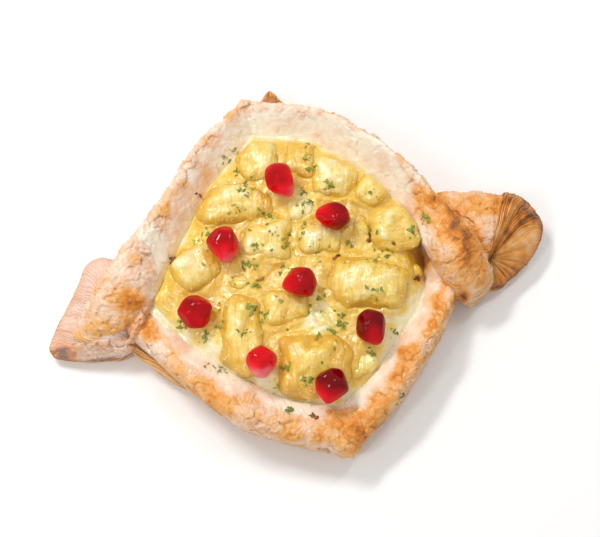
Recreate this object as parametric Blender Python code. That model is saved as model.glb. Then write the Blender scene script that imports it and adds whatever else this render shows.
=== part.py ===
"""A twisted window-pane danish: a square of laminated dough, slit along its rim and folded.

The dough's two L-shaped rims are lifted over to the opposite side, where they stand on the base as a
raised diamond frame. They cross at two corners, where the dough makes an ear, and the rim that ends
in the far corner passes over the other. The frame holds custard, pineapple chunks and pomegranate
arils. Sizes are in millimetres until the last step, which places everything in metres with +Z up,
the ears along X and the origin under the middle, on the surface that the danish lies on.
"""

import math

import bmesh
import bpy
import numpy as np
from mathutils import Matrix
from mathutils.bvhtree import BVHTree

MM = 0.001

# Driving dimensions
GAP = 0.3  # free space between touching pieces
BASE_CORNERS = ((5.0, 53.6), (-48.5, -3.5), (0.0, -48.5), (46.0, -4.0))
BASE_BULGE = 3.2  # how far the middle of a base's side stands out
BASE_RIM = 7.2  # height of the base
BASE_FLOOR = 6.0  # height of the base under the custard
BASE_FOOT = 2.0  # the flat foot is this much smaller than the base all round
CUSTARD_TOP = 10.2
CUSTARD_WAVE = 0.3
CUSTARD_EDGE = 2.4  # the custard stands this much higher along the frame
CUSTARD_LEDGE = 2.2  # and does so over this width

# Rims of the frame, from the left end over the pointed corner to the right end. Each station is
# x, y, width, height of the under side, height of the crest, lift of the outer edge.
UPPER_LEFT = (
    (-63.0, -0.8, 12.5, 0.8, 7.5, 0.0),
    (-58.0, 2.6, 16.0, 1.5, 14.0, 0.0),
    (-51.8, 7.0, 16.5, 4.0, 18.5, 0.0),
    (-45.0, 12.4, 14.5, 7.0, 21.0, 0.5),
    (-38.2, 19.2, 12.0, 7.0, 21.0, 1.0),
    (-29.6, 28.8, 10.5, 5.5, 20.0, 1.0),
    (-17.4, 40.4, 10.0, 5.0, 19.0, 1.0),
    (-1.2, 47.6, 9.0, 5.0, 17.5, 0.5),
)
UPPER_RIGHT = (
    (-1.2, 47.6, 9.0, 5.0, 17.5, 0.5),
    (15.8, 42.6, 8.0, 5.0, 18.0, 1.0),
    (27.0, 33.4, 8.0, 5.0, 19.0, 1.5),
    (35.2, 22.4, 8.2, 5.5, 20.0, 1.5),
    (40.0, 11.6, 9.0, 7.5, 21.0, 1.0),
    (42.2, 2.4, 12.0, 11.0, 22.0, 0.5),
    (44.8, -5.2, 13.0, 10.0, 21.5, 0.0),
    (47.6, -11.6, 12.0, 6.0, 17.0, 0.0),
    (50.2, -15.8, 9.0, 2.5, 11.5, 0.0),
)
LOWER_LEFT = (
    (-56.0, 12.5, 11.0, 2.5, 12.0, 0.0),
    (-47.6, 4.4, 12.0, 3.5, 12.5, 0.0),
    (-40.2, -6.6, 10.5, 4.5, 14.0, 0.0),
    (-32.2, -18.8, 11.0, 4.5, 17.0, 0.0),
    (-18.2, -33.0, 12.0, 4.5, 17.5, 0.0),
    (1.2, -42.6, 12.0, 4.5, 15.0, -1.0),
)
LOWER_RIGHT = (
    (1.2, -42.6, 12.0, 4.5, 15.0, -1.0),
    (14.8, -35.8, 11.5, 4.5, 17.0, 0.0),
    (25.8, -27.0, 11.0, 4.5, 17.0, 0.0),
    (35.2, -17.4, 10.5, 4.5, 15.5, 0.0),
    (41.0, -8.0, 11.0, 4.0, 12.5, 0.0),
    (45.5, 1.5, 12.5, 3.5, 11.5, 0.0),
    (52.0, 7.5, 12.0, 3.0, 13.0, 0.0),
)
STATION_STEP = 4.6  # distance between cross-sections
PROFILE_POINTS = 16
SIDE_SHARPNESS = 0.62  # below 1, a cross-section is squarer
TOP_SHARPNESS = 0.8
CREST_SHIFT = 0.12  # the crest stands outside the middle by this share of the width
END_TAPER = (0.35, 0.75, 0.92)  # sizes of the last cross-sections at an end

# Ears: plan outline, and height over the middle and over each outline point.
EAR_LEFT = {
    "outline": ((-42.0, 21.4), (-47.4, 20.0), (-52.2, 21.2), (-56.6, 19.6), (-61.6, 13.0),
                (-66.2, 7.4), (-70.2, 1.4), (-69.8, -1.6), (-64.3, -5.0), (-55.8, -5.8),
                (-49.6, -5.0), (-43.0, 4.0)),
    "rim_heights": (14.0, 14.0, 13.0, 12.0, 9.5, 7.5, 5.5, 5.5, 6.0, 8.0, 11.0, 14.0),
    "middle": (-55.5, 8.0),
    "height": 16.0,
}
EAR_RIGHT = {
    "outline": ((42.5, 13.2), (49.0, 14.2), (57.6, 11.6), (64.6, 9.0), (68.6, 5.0),
                (70.8, 0.0), (69.4, -4.2), (66.0, -8.0), (60.4, -11.6), (54.0, -13.6),
                (47.5, -11.0), (42.5, 0.0)),
    "rim_heights": (15.0, 15.0, 15.0, 14.0, 11.5, 9.0, 8.0, 8.0, 8.5, 9.0, 11.0, 13.0),
    "middle": (55.0, 2.5),
    "height": 17.5,
}
EAR_POINTS = 30

# Pineapple: x, y, length, width, turn in degrees, taper, thickness, rise to the right, rise to the
# back. Where two chunks would meet, both are cut back to a flat side.
CHUNKS = (
    (-2.4, 37.0, 12.4, 12.4, -14, 0.10, 6.6, -0.05, -0.10),
    (9.4, 35.2, 12.0, 12.6, -20, -0.10, 6.0, 0.05, -0.12),
    (16.6, 26.2, 13.6, 12.8, -14, 0.15, 6.6, -0.05, 0.05),
    (26.6, 21.6, 9.4, 12.4, -36, 0.10, 5.8, 0.05, 0.00),
    (29.6, 7.8, 14.0, 13.0, -10, 0.08, 7.2, 0.03, 0.06),
    (-11.6, 25.8, 24.0, 12.4, -12, 0.10, 7.0, -0.03, 0.05),
    (-6.0, 13.6, 15.6, 12.0, -14, -0.12, 6.4, 0.05, 0.05),
    (8.0, 9.8, 14.6, 10.4, -16, 0.08, 6.0, 0.04, 0.00),
    (-26.0, 11.2, 15.6, 13.4, 6, 0.12, 6.4, -0.07, 0.04),
    (-15.4, 5.0, 9.8, 7.4, -16, 0.08, 4.6, 0.00, 0.00),
    (18.8, -5.8, 24.0, 16.0, -24, 0.12, 7.8, 0.03, 0.04),
    (-18.4, -10.6, 24.0, 13.4, 78, 0.14, 7.4, -0.05, 0.00),
    (-5.2, -6.4, 15.6, 11.0, -8, 0.12, 6.2, 0.05, 0.04),
    (3.4, -12.8, 9.0, 7.0, -14, 0.10, 4.8, 0.00, 0.00),
    (-2.0, -23.6, 22.0, 18.0, -10, 0.12, 7.6, 0.00, 0.06),
    (11.6, -26.4, 12.0, 6.6, 64, 0.10, 4.0, 0.00, 0.00),
    (31.4, -4.6, 4.6, 4.4, 20, 0.00, 3.4, 0.00, 0.00),
    (5.8, 20.4, 9.4, 7.6, -16, 0.10, 5.0, 0.00, 0.00),
    (20.8, 11.4, 6.0, 8.4, -14, 0.05, 5.0, 0.00, 0.00),
)
CHUNK_POINTS = 18
CHUNK_SQUARENESS = 4.2

# Pomegranate: x, y, length, width, turn in degrees, dip of the pointed end in degrees
ARILS = (
    (1.9, 28.2, 10.8, 7.4, -74, 8),
    (13.6, 14.2, 9.6, 7.6, 150, 4),
    (-17.6, 14.2, 10.4, 8.0, -92, 10),
    (-0.2, -1.8, 9.4, 7.8, 175, 0),
    (-29.6, -1.8, 9.2, 8.4, -80, 0),
    (15.2, -18.4, 10.2, 7.6, -92, 0),
    (-15.8, -20.2, 8.6, 8.0, -60, 12),
    (0.6, -31.2, 9.2, 8.2, -118, 0),
)
ARIL_RINGS = 7
ARIL_POINTS = 12


def clear_scene():
    """Removes what Blender starts with."""
    for thing in list(bpy.data.objects):
        bpy.data.objects.remove(thing, do_unlink=True)


def material(name, colour, roughness, metallic=0.0):
    """A Principled material of one colour."""
    made = bpy.data.materials.new(name)
    made.use_nodes = True
    shader = made.node_tree.nodes["Principled BSDF"]
    shader.inputs["Base Color"].default_value = (*colour, 1.0)
    shader.inputs["Roughness"].default_value = roughness
    shader.inputs["Metallic"].default_value = metallic
    return made


def solid(name, rings, bottom, top, finish, hidden=False):
    """A closed object from rings of points, each ring joined to the next, and a point at each end."""
    count = len(rings[0])
    shape = bmesh.new()
    loops = [[shape.verts.new(point) for point in ring] for ring in rings]
    ends = (shape.verts.new(bottom), shape.verts.new(top))
    for low, high in zip(loops, loops[1:]):
        for i in range(count):
            j = (i + 1) % count
            shape.faces.new((low[i], low[j], high[j], high[i]))
    for i in range(count):
        j = (i + 1) % count
        shape.faces.new((ends[0], loops[0][j], loops[0][i]))
        shape.faces.new((ends[1], loops[-1][i], loops[-1][j]))
    bmesh.ops.recalc_face_normals(shape, faces=shape.faces)
    mesh = bpy.data.meshes.new(name)
    shape.to_mesh(mesh)
    shape.free()
    mesh.transform(Matrix.Scale(MM, 4))
    mesh.shade_smooth()
    mesh.set_sharp_from_angle(angle=math.radians(50))
    made = bpy.data.objects.new(name, mesh)
    made.data.materials.append(finish)
    bpy.context.scene.collection.objects.link(made)
    if hidden:
        made.hide_render = True
        made.display_type = "WIRE"
    return made


def catmull_rom(points, step, closed=False):
    """Points a step apart on a smooth curve through the given ones. Columns past x and y follow along."""
    given = np.array(points, float)
    if closed:
        padded = np.vstack((given[-1:], given, given[:2]))
    else:
        padded = np.vstack((2 * given[0] - given[1], given, 2 * given[-1] - given[-2]))
    pieces = []
    for a, b, c, d in zip(padded, padded[1:], padded[2:], padded[3:]):
        parts = max(2, round(np.linalg.norm(c[:2] - b[:2]) / step))
        t = (np.arange(parts) / parts)[:, None]
        pieces.append(
            0.5 * (2 * b + (c - a) * t + (2 * a - 5 * b + 4 * c - d) * t**2 + (3 * b - a - 3 * c + d) * t**3)
        )
    if not closed:
        pieces.append(given[-1:])
    return np.vstack(pieces)


def resampled(loop, count):
    """A closed loop of points as that many, evenly spaced along it."""
    around = np.vstack((loop, loop[:1]))
    run = np.concatenate(([0], np.cumsum(np.linalg.norm(np.diff(around[:, :2], axis=0), axis=1))))
    at = np.linspace(0, run[-1], count, endpoint=False)
    return np.column_stack([np.interp(at, run, around[:, i]) for i in range(around.shape[1])])


def turned_left(directions):
    """Plan directions turned a quarter turn to the left."""
    return np.column_stack((-directions[:, 1], directions[:, 0]))


def rim_stations(left, right, outward):
    """Cross-section places of a rim, and the plan vector across it at each, mitred at its corner.

    outward is 1 where the frame's outside is to the left of the way from left to right, else -1.
    """
    arms = [catmull_rom(left, STATION_STEP), catmull_rom(right, STATION_STEP)]
    stations = np.vstack((arms[0], arms[1][1:]))
    corner = len(arms[0]) - 1
    across = []
    for arm in arms:
        along = np.gradient(arm[:, :2], axis=0)
        across.append(outward * turned_left(along / np.linalg.norm(along, axis=1)[:, None]))
    first, second = across[0][-1], across[1][0]
    mitre = (first + second) / (1 + first @ second)
    sides = np.vstack((across[0], across[1][1:]))
    away = np.linalg.norm(stations[:, :2] - stations[corner, :2], axis=1)
    share = np.clip(1 - away / (1.3 * stations[corner, 2]), 0, 1)
    share = (share * share * (3 - 2 * share))[:, None]
    return stations, sides * (1 - share) + mitre * share


def cross_section(width, low, high, lift, grow):
    """Places across and heights of a rounded section. Its crest stands a little outside the middle."""
    angle = np.linspace(0, 2 * math.pi, PROFILE_POINTS, endpoint=False)
    across, up = np.cos(angle), np.sin(angle)
    across = np.sign(across) * np.abs(across) ** SIDE_SHARPNESS
    up = np.sign(up) * np.abs(up) ** TOP_SHARPNESS
    over = np.clip(up, 0, 1)
    place = across * (width / 2 + grow) + CREST_SHIFT * width * over * (1 - across**2)
    height = (low + high) / 2 + up * ((high - low) / 2 + grow) + lift * across * over
    return place, height


def rim(name, left, right, outward, finish, grow=0.0, hidden=False):
    """One L-shaped rim of the frame as a swept solid with rounded ends."""
    stations, sides = rim_stations(left, right, outward)
    count = len(stations)
    rings = []
    for i, (station, side) in enumerate(zip(stations, sides)):
        x, y, width, low, high, lift = station
        from_end = min(i, count - 1 - i)
        size = END_TAPER[from_end] if from_end < len(END_TAPER) else 1.0
        middle = (low + high) / 2
        half = (high - low) / 2 * size
        place, height = cross_section(width * size, middle - half, middle + half, lift, grow)
        rings.append([(x + side[0] * p, y + side[1] * p, z) for p, z in zip(place, height)])
    ends = [tuple(np.mean(ring, axis=0)) for ring in (rings[0], rings[-1])]
    return solid(name, rings, ends[0], ends[1], finish, hidden)


def base_outline():
    """The base's plan: four corners joined by shallow arcs, each an arch of BASE_BULGE."""
    corners = np.array(BASE_CORNERS)
    pieces = []
    for a, b in zip(corners, np.roll(corners, -1, axis=0)):
        t = (np.arange(10) / 10)[:, None]
        out = np.array([[(b - a)[1], -(b - a)[0]]]) / np.linalg.norm(b - a)
        pieces.append(a + (b - a) * t + out * -BASE_BULGE * np.sign(out @ -(a + b)) * 4 * t * (1 - t))
    return np.vstack(pieces)


def inset(loop, middle, by):
    """A plan loop drawn in towards its middle by a distance."""
    away = loop - middle
    far = np.linalg.norm(away, axis=1)[:, None]
    return middle + away * np.maximum(1 - by / far, 0.02)


def base(finish):
    """The bottom slab, with a flat foot, a bulging side and a sunk floor for the custard."""
    outline = base_outline()
    middle = outline.mean(axis=0)
    rows = ((BASE_FOOT, 0.0), (0.3, 2.0), (0.0, 4.0), (0.8, 6.4), (3.0, BASE_RIM), (9.0, BASE_FLOOR),
            (24.0, BASE_FLOOR))
    rings = [[(*p, z) for p in inset(outline, middle, by)] for by, z in rows]
    return solid("base", rings, (*middle, 0.0), (*middle, BASE_FLOOR), finish)


def ear(name, shape, finish):
    """One ear: a puffed pad over a smooth outline, higher in its middle than at its rim."""
    outline = [(*p, h) for p, h in zip(shape["outline"], shape["rim_heights"])]
    loop = resampled(catmull_rom(outline, 1.0, closed=True), EAR_POINTS)
    plan, rim_height = loop[:, :2], loop[:, 2]
    middle = np.array(shape["middle"])
    rings = []
    for by, share in ((1.6, 0.0), (0.2, 0.22), (0.0, 0.5), (0.4, 0.8), (1.9, 1.0)):
        rings.append([(*p, h * share) for p, h in zip(inset(plan, middle, by), rim_height)])
    half_way = middle + (plan - middle) * 0.5
    dome = rim_height * 0.25 + shape["height"] * 0.75
    rings.append([(*p, h) for p, h in zip(half_way, dome)])
    return solid(name, rings, (*middle, 0.0), (*middle, shape["height"]), finish)


def pastry(finish):
    """The folded dough: base, ears and both rims joined into one body."""
    whole = base(finish)
    whole.name = "pastry"
    joined = [
        ear("left_ear", EAR_LEFT, finish),
        ear("right_ear", EAR_RIGHT, finish),
        rim("lower_rim", LOWER_LEFT, LOWER_RIGHT, -1, finish),
        rim("upper_rim", UPPER_LEFT, UPPER_RIGHT, 1, finish),
    ]
    for piece in joined:
        piece.hide_render = True
        piece.display_type = "WIRE"
        join = whole.modifiers.new(f"join {piece.name}", "BOOLEAN")
        join.operation = "UNION"
        join.solver = "EXACT"
        join.object = piece
    return whole


def reach(middle, directions, edge):
    """How far each direction runs from the middle before it meets an open line of points."""
    start, run = edge[:-1] - middle, np.diff(edge, axis=0)
    turn = directions[:, None, 0] * run[None, :, 1] - directions[:, None, 1] * run[None, :, 0]
    turn = np.where(np.abs(turn) < 1e-9, 1e-9, turn)
    along = (start[:, 0] * run[:, 1] - start[:, 1] * run[:, 0])[None] / turn
    share = (start[None, :, 0] * directions[:, None, 1] - start[None, :, 1] * directions[:, None, 0]) / turn
    met = (along > 0) & (share >= -0.01) & (share <= 1.01)
    return np.where(met, along, np.inf).min(axis=1)


def inner_edges(offset):
    """Both rims' inner edges in plan, drawn in by an offset, each an open line of points."""
    edges = []
    for left, right, outward in ((UPPER_LEFT, UPPER_RIGHT, 1), (LOWER_LEFT, LOWER_RIGHT, -1)):
        stations, sides = rim_stations(left, right, outward)
        edges.append(stations[:, :2] - sides * (stations[:, 2:3] / 2 + offset))
    return edges


def inner_reach(middle, directions, offset):
    """How far each direction runs from the middle to the frame's inner edge, drawn in by an offset."""
    far = [reach(middle, directions, edge) for edge in inner_edges(offset)]
    return np.min(far, axis=0)[:, None]


def custard(finish):
    """The custard: it fills the frame to its inner edges and stands a little higher along them."""
    middle = np.array((0.0, 2.0))
    angle = np.linspace(0, 2 * math.pi, 48, endpoint=False)
    directions = np.column_stack((np.cos(angle), np.sin(angle)))
    wall = directions * inner_reach(middle, directions, 2 * GAP)
    crest = directions * inner_reach(middle, directions, 2 * GAP + 0.5)
    flat = directions * inner_reach(middle, directions, CUSTARD_LEDGE)
    rings = [[(*p, BASE_RIM + GAP) for p in middle + wall * size] for size in (0.5, 1.0)]
    rows = ((wall, 0.7), (crest, 1.0), (flat, 0.0), (flat * 0.85, 0.0), (flat * 0.55, 0.0), (flat * 0.28, 0.0))
    for row, rise in rows:
        plan = middle + row
        wave = CUSTARD_WAVE * np.sin(plan[:, 0] * 0.22 + 0.6) * np.cos(plan[:, 1] * 0.19)
        rings.append([(*p, z) for p, z in zip(plan, CUSTARD_TOP + CUSTARD_EDGE * rise + wave)])
    return solid("custard", rings, (*middle, BASE_RIM + GAP), (*middle, CUSTARD_TOP), finish)


def chunk_axes(size):
    """A chunk's middle, its two plan directions as rows, and its half length and half width."""
    turned = math.radians(size[4])
    along = (math.cos(turned), math.sin(turned))
    return np.array(size[:2]), np.array((along, (-along[1], along[0]))), np.array(size[2:4]) / 2


def parting(one, other):
    """The straight cut between two chunks: its direction, and how far it is from the first's middle."""
    here, own, half = chunk_axes(one)
    there, others, half_other = chunk_axes(other)
    away = there - here
    normals = np.vstack((own, others, away / np.linalg.norm(away)))
    normals = normals * np.where(normals @ away < 0, -1, 1)[:, None]
    reach_own = np.abs(normals @ own.T) @ half
    free = normals @ away - reach_own - np.abs(normals @ others.T) @ half_other
    best = int(np.argmax(free))
    return normals[best], reach_own[best] + free[best] / 2


def chunk_outline(size):
    """A chunk's plan as directions from its middle and distances: a squarish tapered oval, cut back."""
    middle, axes, half = chunk_axes(size)
    angle = np.linspace(0, 2 * math.pi, CHUNK_POINTS, endpoint=False) + math.pi / CHUNK_POINTS
    power = 2 / CHUNK_SQUARENESS
    along = np.sign(np.cos(angle)) * np.abs(np.cos(angle)) ** power
    across = np.sign(np.sin(angle)) * np.abs(np.sin(angle)) ** power * (1 - size[5] * along)
    plan = np.column_stack((along * half[0], across * half[1])) @ axes
    far = np.linalg.norm(plan, axis=1)
    directions = plan / far[:, None]
    for other in CHUNKS:
        if other is not size:
            normal, cut = parting(size, other)
            facing = np.maximum(directions @ normal, 1e-6)
            far = np.minimum(far, (cut - GAP / 2) / facing)
    return directions, np.minimum(far[:, None], inner_reach(middle, directions, CUSTARD_LEDGE + GAP))


def chunk(name, size, finish):
    """A pineapple chunk: a block with soft edges and slightly hollow sides, its top sloping two ways."""
    x, y, _, _, _, _, thickness, rise_right, rise_back = size
    directions, far = chunk_outline(size)
    foot = CUSTARD_TOP + CUSTARD_WAVE + GAP
    rings = []
    for share, height in ((0.7, 0.0), (0.95, 0.18), (1.0, 0.5), (0.95, 0.84), (0.72, 1.0)):
        plan = directions * far * share
        slope = (plan[:, 0] * rise_right + plan[:, 1] * rise_back) * height
        rings.append(list(zip(x + plan[:, 0], y + plan[:, 1], foot + thickness * height + slope)))
    return solid(name, rings, (x, y, foot), (x, y, foot + thickness * 1.04), finish)


def aril(name, size, finish):
    """A pomegranate aril: a drop with flattened flanks, blunt at one end and pointed at the other."""
    x, y, length, width, turn, dip = size
    rings = []
    round_it = np.linspace(0, 2 * math.pi, ARIL_POINTS, endpoint=False)
    for along in np.linspace(-1, 1, ARIL_RINGS + 2)[1:-1]:
        swell = math.sqrt(1 - along**2) * (1 - 0.26 * along)
        flank = 1 - 0.06 * np.cos(3 * round_it)
        radius = width / 2 * swell * flank
        rings.append(
            list(zip(np.full(ARIL_POINTS, along * length / 2), radius * np.cos(round_it), radius * np.sin(round_it)))
        )
    made = solid(name, rings, (-length / 2, 0, 0), (length / 2, 0, 0), finish)
    tilt = Matrix.Rotation(math.radians(turn), 4, "Z") @ Matrix.Rotation(math.radians(dip), 4, "Y")
    made.data.transform(tilt)
    made.location = (x * MM, y * MM, 0)
    return made


def search(thing):
    """An object's mesh as its modifiers leave it, as a search tree and points, both in world space."""
    shape = bmesh.new()
    shape.from_object(thing, bpy.context.evaluated_depsgraph_get())
    shape.transform(thing.matrix_world)
    found = BVHTree.FromBMesh(shape), [vertex.co.copy() for vertex in shape.verts]
    shape.free()
    return found


def shortest(tree, starts, direction, most):
    """The least distance from any of the points to a tree in one direction."""
    hits = [tree.ray_cast(start, direction, most)[3] for start in starts]
    return min((hit for hit in hits if hit is not None), default=most)


def drop(thing, supports):
    """Lowers an object straight down until it is one gap above what lies under it."""
    start = 60 * MM
    thing.location.z = start
    bpy.context.view_layer.update()
    own, points = search(thing)
    fall = start
    for tree, others in supports:
        fall = min(fall, shortest(tree, points, (0, 0, -1), start), shortest(own, others, (0, 0, 1), start))
    thing.location.z = start - fall + GAP * MM


def main():
    """Builds every piece and hangs it from one empty, which centres the danish on the origin."""
    clear_scene()
    dough = material("pastry", (0.78, 0.50, 0.26), 0.65)
    cream = material("custard", (0.90, 0.80, 0.52), 0.3)
    fruit = material("pineapple", (0.90, 0.68, 0.18), 0.28)
    seed = material("pomegranate", (0.55, 0.01, 0.02), 0.12)

    pieces = [pastry(dough), custard(cream)]
    for number, size in enumerate(CHUNKS, 1):
        pieces.append(chunk(f"pineapple_{number:02d}", size, fruit))

    bpy.context.view_layer.update()
    supports = [search(piece) for piece in pieces]
    for number, size in enumerate(ARILS, 1):
        made = aril(f"pomegranate_{number:02d}", size, seed)
        drop(made, supports)
        pieces.append(made)

    everything = list(bpy.data.objects)
    danish = bpy.data.objects.new("danish", None)
    bpy.context.scene.collection.objects.link(danish)
    points = np.array(supports[0][1])
    middle = (points.min(axis=0) + points.max(axis=0)) / 2
    danish.location = (-middle[0], -middle[1], 0)
    for thing in everything:
        thing.parent = danish


main()
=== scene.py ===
"""A danish pastry in the twisted window-pane fold, filled with custard, pineapple and pomegranate.

Each piece is a closed surface worked out with numpy on a grid of rows and columns, in millimetres,
with relief pushed out along its normals and values such as how far the crust has browned, painted
shade included, kept per vertex for its material. The last step turns millimetres into metres in the
part's own frame: the ears lie along X, the pointed corner of the upper rim towards +Y, and the
danish rests on Z = 0.
"""

from __future__ import annotations

import logging
import math
from dataclasses import dataclass, field, replace
from enum import Enum
from typing import NamedTuple

import bpy
import numpy as np
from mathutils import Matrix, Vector
from mathutils.bvhtree import BVHTree


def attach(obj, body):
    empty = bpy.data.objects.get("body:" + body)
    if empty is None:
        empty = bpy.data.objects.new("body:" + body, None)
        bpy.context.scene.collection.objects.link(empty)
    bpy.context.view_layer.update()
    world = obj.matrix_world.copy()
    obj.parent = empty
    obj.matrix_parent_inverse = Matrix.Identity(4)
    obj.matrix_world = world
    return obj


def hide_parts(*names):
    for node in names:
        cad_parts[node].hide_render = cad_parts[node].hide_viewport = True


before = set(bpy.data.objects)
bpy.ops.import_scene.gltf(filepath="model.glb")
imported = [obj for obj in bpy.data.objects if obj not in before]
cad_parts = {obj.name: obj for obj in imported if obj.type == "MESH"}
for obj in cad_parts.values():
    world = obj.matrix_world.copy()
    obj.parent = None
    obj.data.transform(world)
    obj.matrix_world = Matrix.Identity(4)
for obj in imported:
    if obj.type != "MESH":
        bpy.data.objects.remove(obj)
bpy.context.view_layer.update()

Array = np.ndarray
Colour = tuple[float, float, float]
Place = tuple[float, float, float]
Pair = tuple[float, float]
MM = 0.001
GOLDEN_ANGLE = math.pi * (3 - math.sqrt(5))
LOG = logging.getLogger("danish")


# ---------------------------------------------------------------- numbers and noise


def eased(value: Array, low: float, high: float) -> Array:
    """Rises smoothly from 0 at low to 1 at high: 3t^2 - 2t^3 of the clipped share t."""
    share = np.clip((value - low) / (high - low), 0, 1)
    return share * share * (3 - 2 * share)


def hashed(cell: Array, seed: int) -> Array:
    """Gives each whole-number cell its own number from 0 to 1.

    The three coordinates are multiplied by large odd numbers, joined by exclusive-or and mixed by
    shifts and multiplications, all wrapping at 64 bits.

    Args:
        cell: Whole numbers, three in the last axis.
        seed: Picks another set of numbers.

    Returns:
        An array without the last axis.
    """
    word = cell.astype(np.int64).astype(np.uint64)
    mixed = word[..., 0] * np.uint64(0x9E3779B97F4A7C15)
    mixed ^= word[..., 1] * np.uint64(0xC2B2AE3D27D4EB4F)
    mixed ^= word[..., 2] * np.uint64(0x165667B19E3779F9)
    mixed ^= np.uint64((seed + 1) * 0x27D4EB2F165667C5 % 2**64)
    mixed ^= mixed >> np.uint64(29)
    mixed *= np.uint64(0xBF58476D1CE4E5B9)
    mixed ^= mixed >> np.uint64(32)
    mixed *= np.uint64(0x94D049BB133111EB)
    mixed ^= mixed >> np.uint64(29)
    return (mixed >> np.uint64(11)).astype(float) / 2.0**53


def noise(place: Array, seed: int) -> Array:
    """Smooth noise from -1 to 1: a unit cell's eight corner numbers, blended by quintic steps.

    Args:
        place: Points in cells, three numbers in the last axis.
        seed: Picks another pattern.

    Returns:
        An array without the last axis.
    """
    base = np.floor(place)
    part = place - base
    ease = part**3 * (part * (part * 6 - 15) + 10)
    total = np.zeros(place.shape[:-1])
    for corner in np.ndindex(2, 2, 2):
        offset = np.array(corner)
        total += np.prod(np.where(offset, ease, 1 - ease), axis=-1) * hashed(base + offset, seed)
    return 2 * total - 1


def fractal(place: Array, seed: int, octaves: int = 4, gain: float = 0.5) -> Array:
    """Noise plus finer and weaker noise: each octave is half as coarse and gain times as strong.

    Args:
        place: Points in cells of the first octave, three numbers in the last axis.
        seed: Picks another pattern.
        octaves: How many noises are added up.
        gain: Each octave's strength as a share of the one before.

    Returns:
        Their weighted mean, without the last axis.
    """
    total, weight, most = np.zeros(place.shape[:-1]), 1.0, 0.0
    for octave in range(octaves):
        total += weight * noise(place * 2.0**octave, seed + 17 * octave)
        most += weight
        weight *= gain
    return total / most


def plates(place: Array, seed: int) -> tuple[Array, Array, Array]:
    """Cell noise made of tilted plates: one random centre in each unit cell.

    A point belongs to its nearest centre. Its height is that centre's own number plus a slope, also
    the centre's own, times the way to the centre.

    Args:
        place: Points in cells, three numbers in the last axis.
        seed: Picks another pattern.

    Returns:
        The plates' height, about -1 to 1, each plate's own number from 0 to 1, and how much further
        the second nearest centre is than the nearest.
    """
    base = np.floor(place)
    first = np.full(place.shape[:-1], 9.0)
    second, owner, way = first.copy(), np.zeros_like(place), np.zeros_like(place)
    for step in np.ndindex(3, 3, 3):
        cell = base + np.array(step) - 1
        centre = cell + np.stack([hashed(cell, seed + 101 * axis) for axis in range(3)], axis=-1)
        away = np.linalg.norm(centre - place, axis=-1)
        nearer = away < first
        second = np.where(nearer, first, np.minimum(second, away))
        owner = np.where(nearer[..., None], cell, owner)
        way = np.where(nearer[..., None], centre - place, way)
        first = np.where(nearer, away, first)
    slope = np.stack([hashed(owner, seed + 7 + axis) for axis in range(3)], axis=-1) * 2 - 1
    token = hashed(owner, seed + 13)
    return token - 0.5 + np.sum(slope * way, axis=-1), token, second - first


def hollow(relief: Array, reach_rows: int = 3) -> Array:
    """How far each point lies below its neighbourhood: the mean of a square of points, less itself.

    Args:
        relief: Heights, row by row.
        reach_rows: How many points the square reaches to each side.

    Returns:
        A depth for each point, less than 0 on a crest.
    """
    mean = relief
    for axis in (0, 1):
        shifted = [np.roll(mean, step, axis=axis) for step in range(-reach_rows, reach_rows + 1)]
        mean = sum(shifted) / len(shifted)
    return mean - relief


def spans(points: Array, each: int, closed: bool = False) -> Array:
    """A Catmull-Rom curve through points, with the same number of steps between each two.

    Each span is a cubic whose end slopes are half the step between its neighbours.

    Args:
        points: One point a row, of any number of columns.
        each: How many steps a span has.
        closed: Whether the curve returns to its start.

    Returns:
        The steps' points, without the end point of a closed curve.
    """
    given = np.asarray(points, float)
    if closed:
        padded = np.vstack((given[-1:], given, given[:2]))
    else:
        padded = np.vstack((2 * given[0] - given[1], given, 2 * given[-1] - given[-2]))
    a, b, c, d = (padded[i : len(padded) - 3 + i, None] for i in range(4))
    t = np.linspace(0, 1, each, endpoint=False)[None, :, None]
    second, third = 2 * a - 5 * b + 4 * c - d, 3 * b - a - 3 * c + d
    steps = 0.5 * (2 * b + (c - a) * t + second * t**2 + third * t**3)
    steps = steps.reshape(-1, given.shape[1])
    return steps if closed else np.vstack((steps, given[-1:]))


def curve(points: Array, rows: int, closed: bool = False) -> Array:
    """A Catmull-Rom curve as rows that are evenly spaced in plan, the first two columns.

    Args:
        points: One point a row.
        rows: How many points to give back.
        closed: Whether the curve returns to its start.

    Returns:
        The evenly spaced points.
    """
    dense = spans(points, 32, closed)
    if closed:
        dense = np.vstack((dense, dense[:1]))
    run = distances(dense)
    at = np.linspace(0, run[-1], rows, endpoint=not closed)
    return np.column_stack([np.interp(at, run, dense[:, i]) for i in range(dense.shape[1])])


def distances(points: Array) -> Array:
    """The distance in plan from the first point to each, along all of them."""
    return np.concatenate(([0], np.cumsum(np.linalg.norm(np.diff(points[:, :2], axis=0), axis=1))))


def compass(columns: int, start: float = 0.0) -> tuple[Array, Array]:
    """Directions spread evenly all the way round.

    Args:
        columns: How many directions.
        start: The first one's angle, in radians.

    Returns:
        Their angles, and their unit vectors (cos angle, sin angle), one a row.
    """
    angle = np.linspace(start, start + 2 * math.pi, columns, endpoint=False)
    return angle, np.column_stack((np.cos(angle), np.sin(angle)))


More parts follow.
